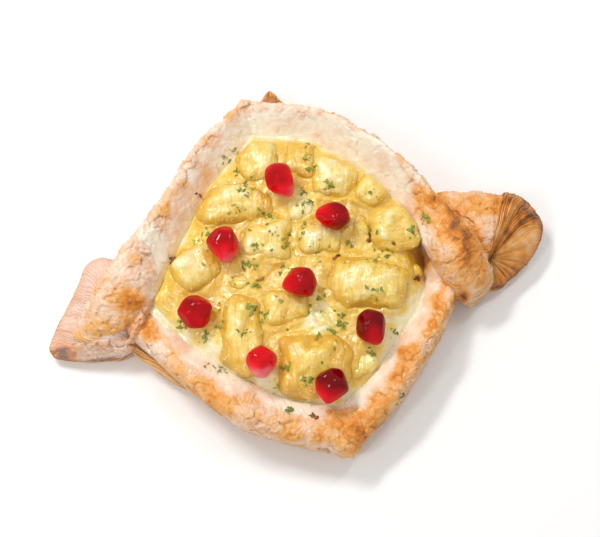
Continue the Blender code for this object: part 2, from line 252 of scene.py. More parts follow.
def reach(middle: Array, directions: Array, edge: Array) -> Array:
    """How far each direction runs from the middle before it meets a line of points.

    Each pair of direction and straight piece of the line is solved as two crossing lines.

    Args:
        middle: The point to start from.
        directions: Unit vectors, one a row.
        edge: The line's points, one a row.

    Returns:
        A distance for each direction, infinite where it meets nothing.
    """
    start, run = edge[:-1] - middle, np.diff(edge, axis=0)
    turn = directions[:, None, 0] * run[None, :, 1] - directions[:, None, 1] * run[None, :, 0]
    turn = np.where(np.abs(turn) < 1e-9, 1e-9, turn)
    along = (start[:, 0] * run[:, 1] - start[:, 1] * run[:, 0])[None] / turn
    share = start[None, :, 0] * directions[:, None, 1] - start[None, :, 1] * directions[:, None, 0]
    share = share / turn
    return np.where((along > 0) & (share >= -0.01) & (share <= 1.01), along, np.inf).min(axis=1)


# ---------------------------------------------------------------- surfaces and meshes


@dataclass
class Skin:
    """A closed surface: rows of points that are each a loop, shut at both ends by a pole."""

    points: Array
    layers: dict[str, Array] = field(default_factory=dict)

    def normals(self) -> Array:
        """Unit vectors out of the surface: the crossed steps along the rows and round the loops."""
        around = np.roll(self.points, -1, axis=1) - np.roll(self.points, 1, axis=1)
        along = np.gradient(self.points, axis=0)
        normal = np.cross(around, along)
        normal /= np.maximum(np.linalg.norm(normal, axis=-1, keepdims=True), 1e-9)
        return normal * self.outward()

    def outward(self) -> float:
        """1 where the loops' turn makes crossed steps that point away from the middle, else -1."""
        around = np.roll(self.points, -1, axis=1) - self.points
        along = np.diff(self.points, axis=0, append=self.points[-1:])
        centre = self.points.mean(axis=(0, 1))
        return 1.0 if np.sum(np.cross(around, along) * (self.points - centre)) > 0 else -1.0

    def push(self, relief: Array) -> None:
        """Moves every point along its normal by its own length."""
        self.points = self.points + self.normals() * relief[..., None]

    def mesh(self, name: str) -> bpy.types.Object:
        """Turns the surface into an object, with its layers as attributes of the points.

        Neighbouring rows are joined by four-sided faces, and each end row is drawn to its mean
        point by a fan of triangles.

        Args:
            name: The object's name.

        Returns:
            The object, at the origin, in metres.
        """
        rows, columns = self.points.shape[:2]
        grid = np.arange(rows * columns).reshape(rows, columns)
        right = np.roll(grid, -1, axis=1)
        quads = np.stack((grid[:-1], right[:-1], right[1:], grid[1:]), axis=-1).reshape(-1, 4)
        poles = rows * columns, rows * columns + 1
        low = np.column_stack((np.full(columns, poles[0]), right[0], grid[0]))
        high = np.column_stack((np.full(columns, poles[1]), grid[-1], right[-1]))
        if self.outward() < 0:
            quads, low, high = quads[:, ::-1], low[:, ::-1], high[:, ::-1]
        ends = self.points[[0, -1]].mean(axis=1)
        places = np.vstack((self.points.reshape(-1, 3), ends)) * MM
        layers = {
            key: np.concatenate((value.ravel(), value[[0, -1]].mean(axis=1)))
            for key, value in self.layers.items()
        }
        return mesh_object(name, places, [quads, low, high], layers)


def raised(plan: Array, height: Array) -> Skin:
    """A surface made of plan points and a height for each."""
    return Skin(np.concatenate((plan, height[..., None]), axis=-1))


def mesh_object(name: str, places: Array, faces: list[Array], layers: dict[str, Array]) -> bpy.types.Object:
    """Makes a smooth-shaded object from arrays.

    Args:
        name: The object's name.
        places: The vertices, in metres.
        faces: Arrays of vertex numbers, one face a row; each array has faces of one size.
        layers: Values for each vertex, by attribute name.

    Returns:
        The object, linked to the scene.
    """
    mesh = bpy.data.meshes.new(name)
    mesh.vertices.add(len(places))
    mesh.vertices.foreach_set("co", places.astype(np.float32).ravel())
    corners = np.concatenate([block.ravel() for block in faces])
    sizes = np.concatenate([np.full(len(block), block.shape[1]) for block in faces])
    mesh.loops.add(len(corners))
    mesh.loops.foreach_set("vertex_index", corners.astype(np.int32))
    mesh.polygons.add(len(sizes))
    starts = np.concatenate(([0], np.cumsum(sizes)[:-1]))
    mesh.polygons.foreach_set("loop_start", starts.astype(np.int32))
    mesh.update(calc_edges=True)
    mesh.validate()
    mesh.shade_smooth()
    for key, values in layers.items():
        mesh.attributes.new(key, "FLOAT", "POINT").data.foreach_set("value", values.astype(np.float32))
    made = bpy.data.objects.new(name, mesh)
    bpy.context.scene.collection.objects.link(made)
    return made


def seated(piece: bpy.types.Object, finish: bpy.types.Material, slot: str, *nodes: str) -> bpy.types.Object:
    """Gives a piece its material, rides it on the part and hides the nodes it stands for.

    Args:
        piece: The piece.
        finish: Its material.
        slot: Not used.
        nodes: The nodes it replaces, if any.

    Returns:
        The piece.
    """
    piece.data.materials.append(finish)
    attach(piece, "root")
    if nodes:
        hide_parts(*nodes)
    LOG.info("%s: %d faces", piece.name, len(piece.data.polygons))
    return piece


# ---------------------------------------------------------------- finishes


class Board:
    """A material's node tree with short ways to add and join nodes."""

    def __init__(self, name: str) -> None:
        """Starts a material that holds one Principled shader.

        Args:
            name: The material's name.
        """
        self.material = bpy.data.materials.new(name)
        self.material.use_nodes = True
        self.tree = self.material.node_tree
        self.shader = self.tree.nodes["Principled BSDF"]
        self.place = self.add("ShaderNodeTexCoord").outputs["Object"]

    def add(self, kind: str, **inputs: object) -> bpy.types.Node:
        """Adds a node. An input that is a socket is linked, and any other value is set on it."""
        node = self.tree.nodes.new(kind)
        self.feed(node, **inputs)
        return node

    def feed(self, node: bpy.types.Node, **inputs: object) -> None:
        """Links or sets a node's inputs.

        Args:
            node: The node.
            inputs: Sockets and values by the input's name, with underscores for its spaces, or by
                its number after an underscore.
        """
        for key, value in inputs.items():
            socket = node.inputs[int(key[1:])] if key[1:].isdigit() else node.inputs[key.replace("_", " ")]
            if isinstance(value, bpy.types.NodeSocket):
                self.tree.links.new(value, socket)
            else:
                socket.default_value = value

    def layer(self, name: str) -> bpy.types.NodeSocket:
        """A per-vertex value of the mesh."""
        node = self.add("ShaderNodeAttribute")
        node.attribute_name = name
        return node.outputs["Fac"]

    def grain(self, size: float, detail: float) -> bpy.types.NodeSocket:
        """Noise whose features are about size millimetres, in the piece's own coordinates."""
        node = self.add("ShaderNodeTexNoise", Vector=self.place, Scale=1 / (size * MM), Detail=detail)
        return node.outputs["Fac"]

    def cells(self, size: float, warp: float) -> tuple[bpy.types.NodeSocket, bpy.types.NodeSocket]:
        """Cells about size millimetres wide whose borders are bent by noise.

        Args:
            size: The cells' width in millimetres.
            warp: How far the borders are bent, in millimetres.

        Returns:
            The distance to the nearest border in cells, and each cell's own number.
        """
        bend = self.add("ShaderNodeTexNoise", Vector=self.place, Scale=0.7 / (size * MM), Detail=2.0)
        most = (warp * MM,) * 3
        moved = self.add("ShaderNodeVectorMath", _0=bend.outputs["Color"], _1=most, _2=self.place)
        moved.operation = "MULTIPLY_ADD"
        found = []
        for feature, output in (("DISTANCE_TO_EDGE", "Distance"), ("F1", "Color")):
            node = self.add("ShaderNodeTexVoronoi", Vector=moved.outputs[0], Scale=1 / (size * MM))
            node.feature = feature
            found.append(node.outputs[output])
        return found[0], found[1]

    def maths(self, operation: str, *values: object) -> bpy.types.NodeSocket:
        """One step of arithmetic on sockets or numbers."""
        node = self.add("ShaderNodeMath", **{f"_{index}": value for index, value in enumerate(values)})
        node.operation = operation
        return node.outputs[0]

    def sum(self, a: object, b: object, by: float = 1.0, less: float = 0.0) -> bpy.types.NodeSocket:
        """a + by * (b - less)."""
        return self.maths("ADD", a, self.maths("MULTIPLY_ADD", b, by, -by * less))

    def times(self, a: object, b: object) -> bpy.types.NodeSocket:
        """a * b."""
        return self.maths("MULTIPLY", a, b)

    def ramp(self, value: object, *stops: tuple[float, Colour]) -> bpy.types.NodeSocket:
        """Colours along a value, blended between stops.

        Args:
            value: The socket that picks the colour.
            stops: Pairs of a value and its colour.

        Returns:
            The colour's socket.
        """
        node = self.add("ShaderNodeValToRGB", Fac=value)
        marks = node.color_ramp.elements
        while len(marks) < len(stops):
            marks.new(0.5)
        for mark, (at, colour) in zip(marks, stops):
            mark.position = at
            mark.color = (*colour, 1)
        return node.outputs["Color"]

    def blend(self, share: object, a: object, b: object, mode: str = "MIX") -> bpy.types.NodeSocket:
        """Mixes two colours, each a socket or a fixed colour.

        Args:
            share: How much of the second colour is taken.
            a: The first colour.
            b: The second colour.
            mode: How Blender blends them.

        Returns:
            The mixed colour's socket.
        """
        node = self.tree.nodes.new("ShaderNodeMix")
        node.data_type = "RGBA"
        node.blend_type = mode
        for index, value in ((0, share), (6, a), (7, b)):
            if isinstance(value, bpy.types.NodeSocket):
                self.tree.links.new(value, node.inputs[index])
            elif index:
                node.inputs[index].default_value = (*value, 1)
            else:
                node.inputs[index].default_value = value
        return node.outputs[2]

    def levels(
        self, value: object, low: float, high: float, start: float = 0.0, end: float = 1.0
    ) -> bpy.types.NodeSocket:
        """Maps low..high to start..end and clips outside it.

        Args:
            value: The socket that is mapped.
            low: Where it gives start.
            high: Where it gives end.
            start: The result at low.
            end: The result at high.

        Returns:
            The result's socket.
        """
        ends = {"From_Min": low, "From_Max": high, "To_Min": start, "To_Max": end}
        return self.add("ShaderNodeMapRange", Value=value, **ends).outputs[0]

    def bump(
        self, height: object, depth: float, strength: float, under: object = None
    ) -> bpy.types.NodeSocket:
        """Fine relief for the shader's normal.

        Args:
            height: A socket from 0 to 1.
            depth: How deep the relief is, in millimetres.
            strength: How strongly it shows, from 0 to 1.
            under: The normal of the relief that it lies on, if any.

        Returns:
            The normal's socket.
        """
        node = self.add("ShaderNodeBump", Height=height, Distance=depth * MM, Strength=strength)
        if under is not None:
            self.tree.links.new(under, node.inputs["Normal"])
        return node.outputs[0]

    def finished(self, **inputs: object) -> bpy.types.Material:
        """Feeds the shader its inputs and gives back the material."""
        self.feed(self.shader, **inputs)
        return self.material


@dataclass(frozen=True)
class CrustFinish:
    """Laminated dough after baking: cream where it stayed pale, tan, golden and brown where it
    browned, and darker where shade is painted into cracks, leaf gaps and hollows.
    """

    name: str = "crust"
    cream: Colour = (0.93, 0.84, 0.69)
    blush: Colour = (0.87, 0.60, 0.42)
    gold: Colour = (0.84, 0.42, 0.12)
    amber: Colour = (0.74, 0.245, 0.018)
    brown: Colour = (0.36, 0.12, 0.022)
    burnt: Colour = (0.045, 0.014, 0.007)
    glaze: Colour = (0.88, 0.72, 0.36)
    rosy: Colour = (0.78, 0.49, 0.41)
    # The brown of the painted shade in cracks, leaf gaps and hollows.
    painted_crevice_shade: Colour = (0.50, 0.19, 0.05)
    flake_width: float = 1.9
    flake_bend: float = 2.2

    def leaves(self, board: Board) -> tuple[bpy.types.NodeSocket, bpy.types.NodeSocket]:
        """Reads the leaf layer, a count whose whole numbers are the gaps between leaves.

        Args:
            board: The crust's node tree.

        Returns:
            Each leaf's own number from 0 to 1, and the distance to the nearest gap in leaves.
        """
        count = board.sum(board.layer("leaf"), board.grain(1.4, 3), 0.7, 0.5)
        own = board.add("ShaderNodeTexWhiteNoise")
        own.noise_dimensions = "1D"
        board.feed(own, W=board.maths("FLOOR", count))
        return own.outputs["Value"], board.maths("PINGPONG", count, 0.5)

    def material(self) -> bpy.types.Material:
        """Colour follows the bake layer, mottled by small flakes, with painted shade in cracks, leaf gaps
        and hollows.
        """
        board = Board(self.name)
        flaky, cut = board.layer("flaky"), board.layer("cut")
        border, own = board.cells(self.flake_width, self.flake_bend)
        leaf, lip = self.leaves(board)
        bake = board.sum(board.layer("bake"), board.grain(2.2, 5), 0.20, 0.5)
        bake = board.sum(bake, board.grain(0.5, 3), 0.12, 0.5)
        bake = board.sum(bake, board.times(board.sum(0.0, own, 0.16, 0.5), flaky))
        bake = board.sum(bake, board.times(board.sum(0.0, leaf, 0.26, 0.5), cut))
        colour = board.ramp(
            bake,
            (0.0, self.cream),
            (0.20, self.blush),
            (0.42, self.gold),
            (0.62, self.amber),
            (0.82, self.brown),
            (1.0, self.burnt),
        )
        wet = board.sum(board.layer("glaze"), board.grain(1.8, 4), 0.9, 0.5)
        colour = board.blend(board.levels(wet, 0.25, 0.75, 0.0, 0.75), colour, self.glaze)
        colour = board.blend(board.times(board.layer("rosy"), 0.55), colour, self.rosy)
        # Painted shade: cracks between flakes, gaps between leaves and the gap layer's hollows are blended
        # towards the shade brown.
        crack = board.times(board.levels(border, 0.0, 0.11, 1.0, 0.0), flaky)
        leaf_gap_shade = board.times(board.levels(lip, 0.02, 0.17, 1.0, 0.0), cut)
        leaf_gap_shade = board.times(leaf_gap_shade, board.levels(board.grain(3.0, 3), 0.38, 0.62, 0.15, 1.0))
        gaps = board.sum(board.sum(board.layer("gap"), crack, 0.14), leaf_gap_shade, 0.8)
        colour = board.blend(board.levels(gaps, 0.08, 0.95, 0.0, 0.80), colour, self.painted_crevice_shade)
        relief = board.bump(board.grain(0.35, 4), 0.10, 0.6)
        relief = board.bump(board.grain(1.1, 4), 0.25, 0.6, relief)
        relief = board.bump(board.times(board.levels(border, 0.0, 0.45), flaky), 0.16, 0.8, relief)
        relief = board.bump(board.times(board.levels(lip, 0.0, 0.3), cut), 0.40, 0.9, relief)
        return board.finished(
            Base_Color=colour,
            Roughness=board.levels(board.layer("moist"), 0.0, 1.0, 0.58, 0.22),
            Normal=relief,
            Specular_IOR_Level=0.3,
            Subsurface_Weight=0.12,
            Subsurface_Radius=(1.0, 0.6, 0.35),
            Subsurface_Scale=0.0015,
            Coat_Weight=0.25,
            Coat_Roughness=0.15,
        )


@dataclass(frozen=True)
class CustardFinish:
    """Glossy custard: clear golden glaze between the chunks, white cream along the frame."""

    name: str = "custard"
    # Brown of the painted shadow in the hollow under the upper rim's right crossing.
    painted_shadow_brown: Colour = (0.44, 0.18, 0.03)
    glaze: Colour = (0.80, 0.47, 0.03)
    custard: Colour = (0.86, 0.62, 0.10)
    cream: Colour = (0.88, 0.81, 0.54)

    def material(self) -> bpy.types.Material:
        """Colour follows the cream layer and the hole layer, which paints shadow brown into the hollow,
        under a wet coat with its own fine waves.
        """
        board = Board(self.name)
        cream = board.sum(board.layer("cream"), board.grain(2.2, 4), 0.9, 0.5)
        colour = board.ramp(cream, (0.05, self.glaze), (0.42, self.custard), (0.85, self.cream))
        # The hole layer paints shadow brown into the hollow.
        colour = board.blend(board.layer("hole"), colour, self.painted_shadow_brown)
        relief = board.bump(board.grain(1.6, 3), 0.45, 0.9)
        wet = board.bump(board.grain(1.4, 3), 0.42, 1.0)
        return board.finished(
            Base_Color=colour,
            Roughness=0.3,
            Normal=relief,
            Subsurface_Weight=0.25,
            Subsurface_Radius=(1.0, 0.6, 0.2),
            Subsurface_Scale=0.002,
            Coat_Weight=1.0,
            Coat_Roughness=0.06,
            Coat_IOR=1.6,
            Coat_Normal=wet,
        )


@dataclass(frozen=True)
class PineappleFinish:
    """Glazed cooked pineapple: translucent, with painted light paler on top and painted shade deeper
    yellow down its sides.
    """

    name: str = "pineapple"
    pale: Colour = (0.88, 0.78, 0.42)
    yellow: Colour = (0.86, 0.63, 0.13)
    deep: Colour = (0.80, 0.49, 0.04)
    amber: Colour = (0.74, 0.40, 0.025)

    def material(self) -> bpy.types.Material:
        """Colour follows the deep layer, with its painted light and shade, streaked by fine fibres, under a
        wet clear coat.
        """
        board = Board(self.name)
        along = board.times(board.layer("along"), 0.14)
        strands = board.add("ShaderNodeCombineXYZ", X=board.layer("across"), Y=along).outputs[0]
        fibre = board.add("ShaderNodeTexNoise", Vector=strands, Scale=1.7, Detail=3.0).outputs["Fac"]
        deep = board.sum(board.layer("deep"), board.grain(2.6, 4), 0.55, 0.5)
        deep = board.sum(board.sum(deep, board.grain(6.0, 3), 0.6, 0.5), fibre, 0.55, 0.5)
        stops = ((0.0, self.pale), (0.38, self.yellow), (0.72, self.deep), (1.0, self.amber))
        colour = board.ramp(deep, *stops)
        relief = board.bump(fibre, 0.26, 0.8, board.bump(board.grain(1.2, 3), 0.14, 0.6))
        wet = board.bump(board.grain(1.7, 3), 0.42, 1.0, board.bump(fibre, 0.20, 0.8))
        return board.finished(
            Base_Color=colour,
            Roughness=0.34,
            Normal=relief,
            Subsurface_Weight=0.40,
            Subsurface_Radius=(1.0, 0.70, 0.20),
            Subsurface_Scale=0.003,
            Coat_Weight=1.0,
            Coat_Roughness=0.05,
            Coat_IOR=1.6,
            Coat_Normal=wet,
        )


@dataclass(frozen=True)
class ArilFinish:
    """Pomegranate: a taut wet skin over deep red juice, pinker where the seed shows through."""

    name: str = "pomegranate"
    dark: Colour = (0.17, 0.0, 0.001)
    red: Colour = (0.60, 0.0, 0.003)
    bright: Colour = (0.88, 0.010, 0.020)
    pink: Colour = (0.92, 0.24, 0.26)

    def material(self) -> bpy.types.Material:
        """Colour follows the glow layer, from the dark crown to the bright or pink pointed end, with a
        painted glow on the underside.
        """
        board = Board(self.name)
        glow = board.sum(board.layer("glow"), board.grain(2.5, 2), 0.16, 0.5)
        stops = ((0.05, self.dark), (0.4, self.red), (0.7, self.bright), (1.0, self.pink))
        return board.finished(
            Base_Color=board.ramp(glow, *stops),
            Roughness=0.22,
            Normal=board.bump(board.grain(1.8, 2), 0.12, 0.35),
            Specular_IOR_Level=0.0,
            Subsurface_Weight=0.12,
            Subsurface_Radius=(1.0, 0.08, 0.06),
            Subsurface_Scale=0.003,
            Coat_Weight=0.6,
            Coat_Roughness=0.03,
            Coat_IOR=1.45,
        )


@dataclass(frozen=True)
class SpeckFinish:
    """Small dry or wet bits strewn on top, from one colour to another."""

    name: str
    first: Colour
    second: Colour
    roughness: float

    def material(self) -> bpy.types.Material:
        """Colour follows each bit's own tone."""
        board = Board(self.name)
        tone = board.sum(board.layer("tone"), board.grain(0.5, 2), 0.4, 0.5)
        colour = board.ramp(tone, (0.0, self.first), (1.0, self.second))
        relief = board.bump(board.grain(0.25, 2), 0.04, 0.6)
        return board.finished(Base_Color=colour, Roughness=self.roughness, Normal=relief)


# ---------------------------------------------------------------- the dough


class Crust(Enum):
    """How an area of dough looks."""

    FLAKY = "blistered, flaking top"
    LEAVES = "cut edge that shows its leaves"
    SMOOTH = "taut stretched dough"
    CREAM = "pale moist inner slope"
    UNDER = "flat brown underside"
    GLAZED = "foot of the inner slope that the filling's glaze has run on to"


class Spot(NamedTuple):
    """A round place, such as a browned spot or a spot of painted shadow: its plan position, radius and
    strength.
    """

    x: float
    y: float
    radius: float
    strength: float

    def over(self, place: Array) -> Array:
        """Its strength, which fades with the distance r from its middle as exp(-(r / radius)^2)."""
        apart = (place[..., 0] - self.x) ** 2 + (place[..., 1] - self.y) ** 2
        return self.strength * np.exp(-apart / self.radius**2)


TOASTED = (
    Spot(43.6, 4.4, 4.2, 0.42),
    Spot(45.4, -2.0, 4.8, 0.40),
    Spot(46.6, -8.6, 4.8, 0.37),
    Spot(40.8, 10.0, 3.6, 0.33),
    Spot(49.0, -14.0, 5.0, 0.32),
    Spot(6.0, -46.5, 5.0, 0.32),
    Spot(-3.0, -44.0, 5.0, 0.26),
    Spot(13.0, -40.0, 5.0, 0.16),
    Spot(64.4, -5.1, 4.2, -0.34),
    Spot(70.0, 0.5, 3.0, 0.30),
    Spot(-68.0, -1.4, 3.2, 0.95),
    Spot(-36.5, 18.6, 5.0, -0.24),
    Spot(-48.0, 12.0, 6.0, -0.14),
    Spot(-47.6, 0.6, 4.2, 0.32),
    Spot(-44.4, 3.6, 3.4, 0.28),
    Spot(-42.4, 13.2, 3.0, 0.18),
    Spot(34.0, -15.0, 4.2, 0.36),
    Spot(35.2, -18.6, 3.4, 0.26),
    Spot(29.8, -22.6, 4.4, 0.32),
    Spot(24.0, -28.6, 4.4, 0.28),
    Spot(18.6, -35.0, 4.0, 0.26),
    Spot(11.0, -40.2, 4.0, 0.20),
    Spot(3.4, -46.0, 4.6, 0.16),
    Spot(-39.6, -17.0, 3.8, 0.19),
    Spot(-34.2, -24.6, 3.2, 0.14),
    Spot(-31.0, -28.4, 3.8, 0.14),
    Spot(-22.0, -37.4, 4.0, 0.12),
    Spot(-13.4, -42.2, 3.0, 0.14),
    Spot(-17.0, 36.0, 3.0, 0.30),
    Spot(-10.0, 38.8, 2.4, 0.26),
    Spot(-21.6, 30.0, 2.6, 0.14),
    Spot(-30.0, 25.6, 3.6, 0.14),
    Spot(-33.0, 18.6, 2.6, 0.14),
    Spot(37.4, 12.8, 2.8, 0.18),
    Spot(42.6, -17.6, 1.6, 0.75),
)
# Painted shadow on the lower rim, where it lies close under the upper one: these spots darken it as
# browning does.
SHADED = (Spot(37.4, -3.0, 5.0, 0.95), Spot(40.4, -10.0, 2.8, 0.60), Spot(-43.6, -4.6, 2.4, 0.2))


@dataclass(frozen=True)
class Dough:
    """The relief and browning of laminated dough, for any of its surfaces."""

    leaf: float = 0.80
    flake: float = 0.62
    # Browned spots; on the lower rim also spots of painted shadow.
    browning_and_shadow_spots: tuple[Spot, ...] = TOASTED

    def leaves(self, height: Array, along: Array, seed: int) -> tuple[Array, Array]:
        """Edges of stacked leaves.

        A height, warped by noise along the edge, counts the leaves. Each leaf stands out by its
        own wavy amount, with rounded lips and a thin gap to the next.

        Args:
            height: Distance across the leaves, in leaf thicknesses.
            along: Distance along the edge, in millimetres.
            seed: Picks another pattern.

        Returns:
            Relief in millimetres, and the leaf count, whose whole numbers are the gaps.
        """
        none = np.zeros_like(height)
        warp = 1.9 * noise(np.stack((along / 19, height / 8, none), -1), seed)
        warp += 0.65 * noise(np.stack((along / 5.5, height / 2.6, none), -1), seed + 1)
        count = height + warp
        index = np.floor(count)
        body = 1 - np.abs(2 * (count - index) - 1) ** 4
        stand = noise(np.stack((along / 9.0, index * 3.7, none), -1), seed + 2)
        return (0.24 + 0.42 * stand) * body, count + 40

    def flaky(self, place: Array, seed: int) -> tuple[Array, Array]:
        """A crumpled, flaking top.

        Tilted plates of two sizes lie over broad noise. Where two large plates meet there is a
        crack, and ridged noise, one less the size of smooth noise, wrinkles them.

        Args:
            place: Points in millimetres.
            seed: Picks another pattern.

        Returns:
            Relief in millimetres, and each point's own browning from -1 to 1.
        """
        bend = np.stack([fractal(place / 2.6, seed + 5 + axis, 2) for axis in range(3)], -1)
        bent = place + 0.9 * bend
        large, token, rim = plates(bent / 3.6, seed)
        small, speck, _ = plates(bent / 1.5, seed + 3)
        crack = 1 - eased(rim, 0.0, 0.10)
        ridge = (1 - np.abs(noise(bent / 2.4, seed + 9))) ** 3
        fine = fractal(place / 0.9, seed + 13, 2)
        relief = self.flake * (0.9 * large + 0.30 * small + 0.35 * ridge + 0.15 * fine - 0.28 * crack)
        return relief, 0.9 * (token - 0.5) + 0.9 * (speck - 0.5) + 0.4 * ridge

    def dress(
        self, skin: Skin, zones: dict[Crust, Array], height: Array, along: Array, seed: int
    ) -> None:
        """Adds relief to a surface and sets the layers that its material reads.

        Relief and browning are the looks' own, each times how strongly the look holds. Each spot browns
        every look on top; on the lower rim some are painted shadow where it lies under the upper rim.
        The gap layer is painted shade in the hollows of the relief.

        Args:
            skin: The surface.
            zones: How strongly each look holds at each point, from 0 to 1.
            height: Distance across the leaves, in leaf thicknesses.
            along: Distance along the leaves, in millimetres.
            seed: Picks another pattern.
        """
        place = skin.points
        zero = np.zeros(place.shape[:2])
        flaky, cream = zones.get(Crust.FLAKY, zero), zones.get(Crust.CREAM, zero)
        flakes, own = self.flaky(place, seed)
        edges, count = self.leaves(height, along, seed + 20)
        swell = fractal(place / 9.0, seed + 31, 3)
        crease = fractal(place * np.array((1, 1, 0.5)) / 2.4, seed + 33, 3)
        patch = fractal(place / 6.0, seed + 41, 3)
        golden = eased(patch, -0.30, 0.45)
        # Browning spots summed, with painted shadow spots among them on the lower rim.
        toast_and_shadow = sum(spot.over(place) for spot in self.browning_and_shadow_spots)
        reliefs = {
            Crust.FLAKY: flakes + 0.45 * swell,
            Crust.LEAVES: edges,
            Crust.SMOOTH: 0.10 * crease + 0.18 * swell,
            Crust.CREAM: 0.45 * swell + 0.30 * flakes,
            Crust.UNDER: 0.05 * crease,
        }
        browned = {
            Crust.FLAKY: 0.13 + 0.22 * golden + 0.07 * own + toast_and_shadow * (0.90 + 0.22 * own),
            Crust.LEAVES: 0.30 + 0.12 * patch + 0.3 * toast_and_shadow,
            Crust.SMOOTH: 0.22 + 0.12 * patch + 0.06 * crease + 0.6 * toast_and_shadow,
            Crust.CREAM: 0.01 + 0.30 * patch + 0.06 * own + 0.6 * toast_and_shadow,
            Crust.UNDER: 0.62 + 0.12 * patch,
        }
        relief = sum(zones.get(look, zero) * amount for look, amount in reliefs.items())
        skin.push(relief)
        skin.layers |= {
            "bake": sum(zones.get(look, zero) * amount for look, amount in browned.items()),
            # Painted shade: the gap layer darkens the hollows of the relief, on flaky tops and pale slopes.
            "gap": np.clip((flaky + 0.4 * cream) * 1.1 * np.clip(hollow(relief), 0, 0.5), 0, 1),
            "flaky": flaky,
            "leaf": count,
            "cut": zones.get(Crust.LEAVES, zero),
            "rosy": zero,
            "glaze": zones.get(Crust.GLAZED, zero),
            "moist": np.clip(cream * 0.8 + 0.15 * flaky + 0.25 * toast_and_shadow, 0, 1),
        }


class Station(NamedTuple):
    """A rim's cross-section at one place on its path.

    Its width, the heights of its foot and crest, how far its outer edge is lifted, the angle it is
    skewed by, how far it is a sloped wall rather than a round fold, and the step at which the pale
    inner slope ends.
    """

    x: float
    y: float
    width: float
    low: float
    high: float
    lift: float = 0.0
    skew: float = 0.0
    slope: float = 0.5
    border: float = 4.6


# Sections as shares of half the width and of the height. Their steps count from the inner foot, over
# the crest at 5 and the outer side at 8 and 9, to the middle of the underside at 11.
SECTION_STEPS = 40
ROUND = (
    (-0.80, 0.0), (-0.98, 0.16), (-1.0, 0.45), (-0.84, 0.74), (-0.48, 0.93), (0.0, 1.0),
    (0.48, 0.95), (0.84, 0.77), (1.0, 0.46), (0.97, 0.14), (0.72, 0.0), (0.0, 0.0),
)
SLOPED = (
    (-1.00, 0.0), (-1.30, 0.12), (-1.34, 0.36), (-1.02, 0.52), (-0.50, 0.68), (0.04, 0.86),
    (0.52, 0.99), (0.84, 0.95), (1.0, 0.66), (0.98, 0.22), (0.80, 0.0), (0.0, 0.0),
)
# How closely the columns of a rim lie at each step: closest on the outer side, with its thin leaves.
CROWDING = ((0, 1, 4, 7, 7.6, 9.6, 9.8, 12), (0.3, 0.8, 1.0, 1.1, 1.7, 1.7, 0.3, 0.3))


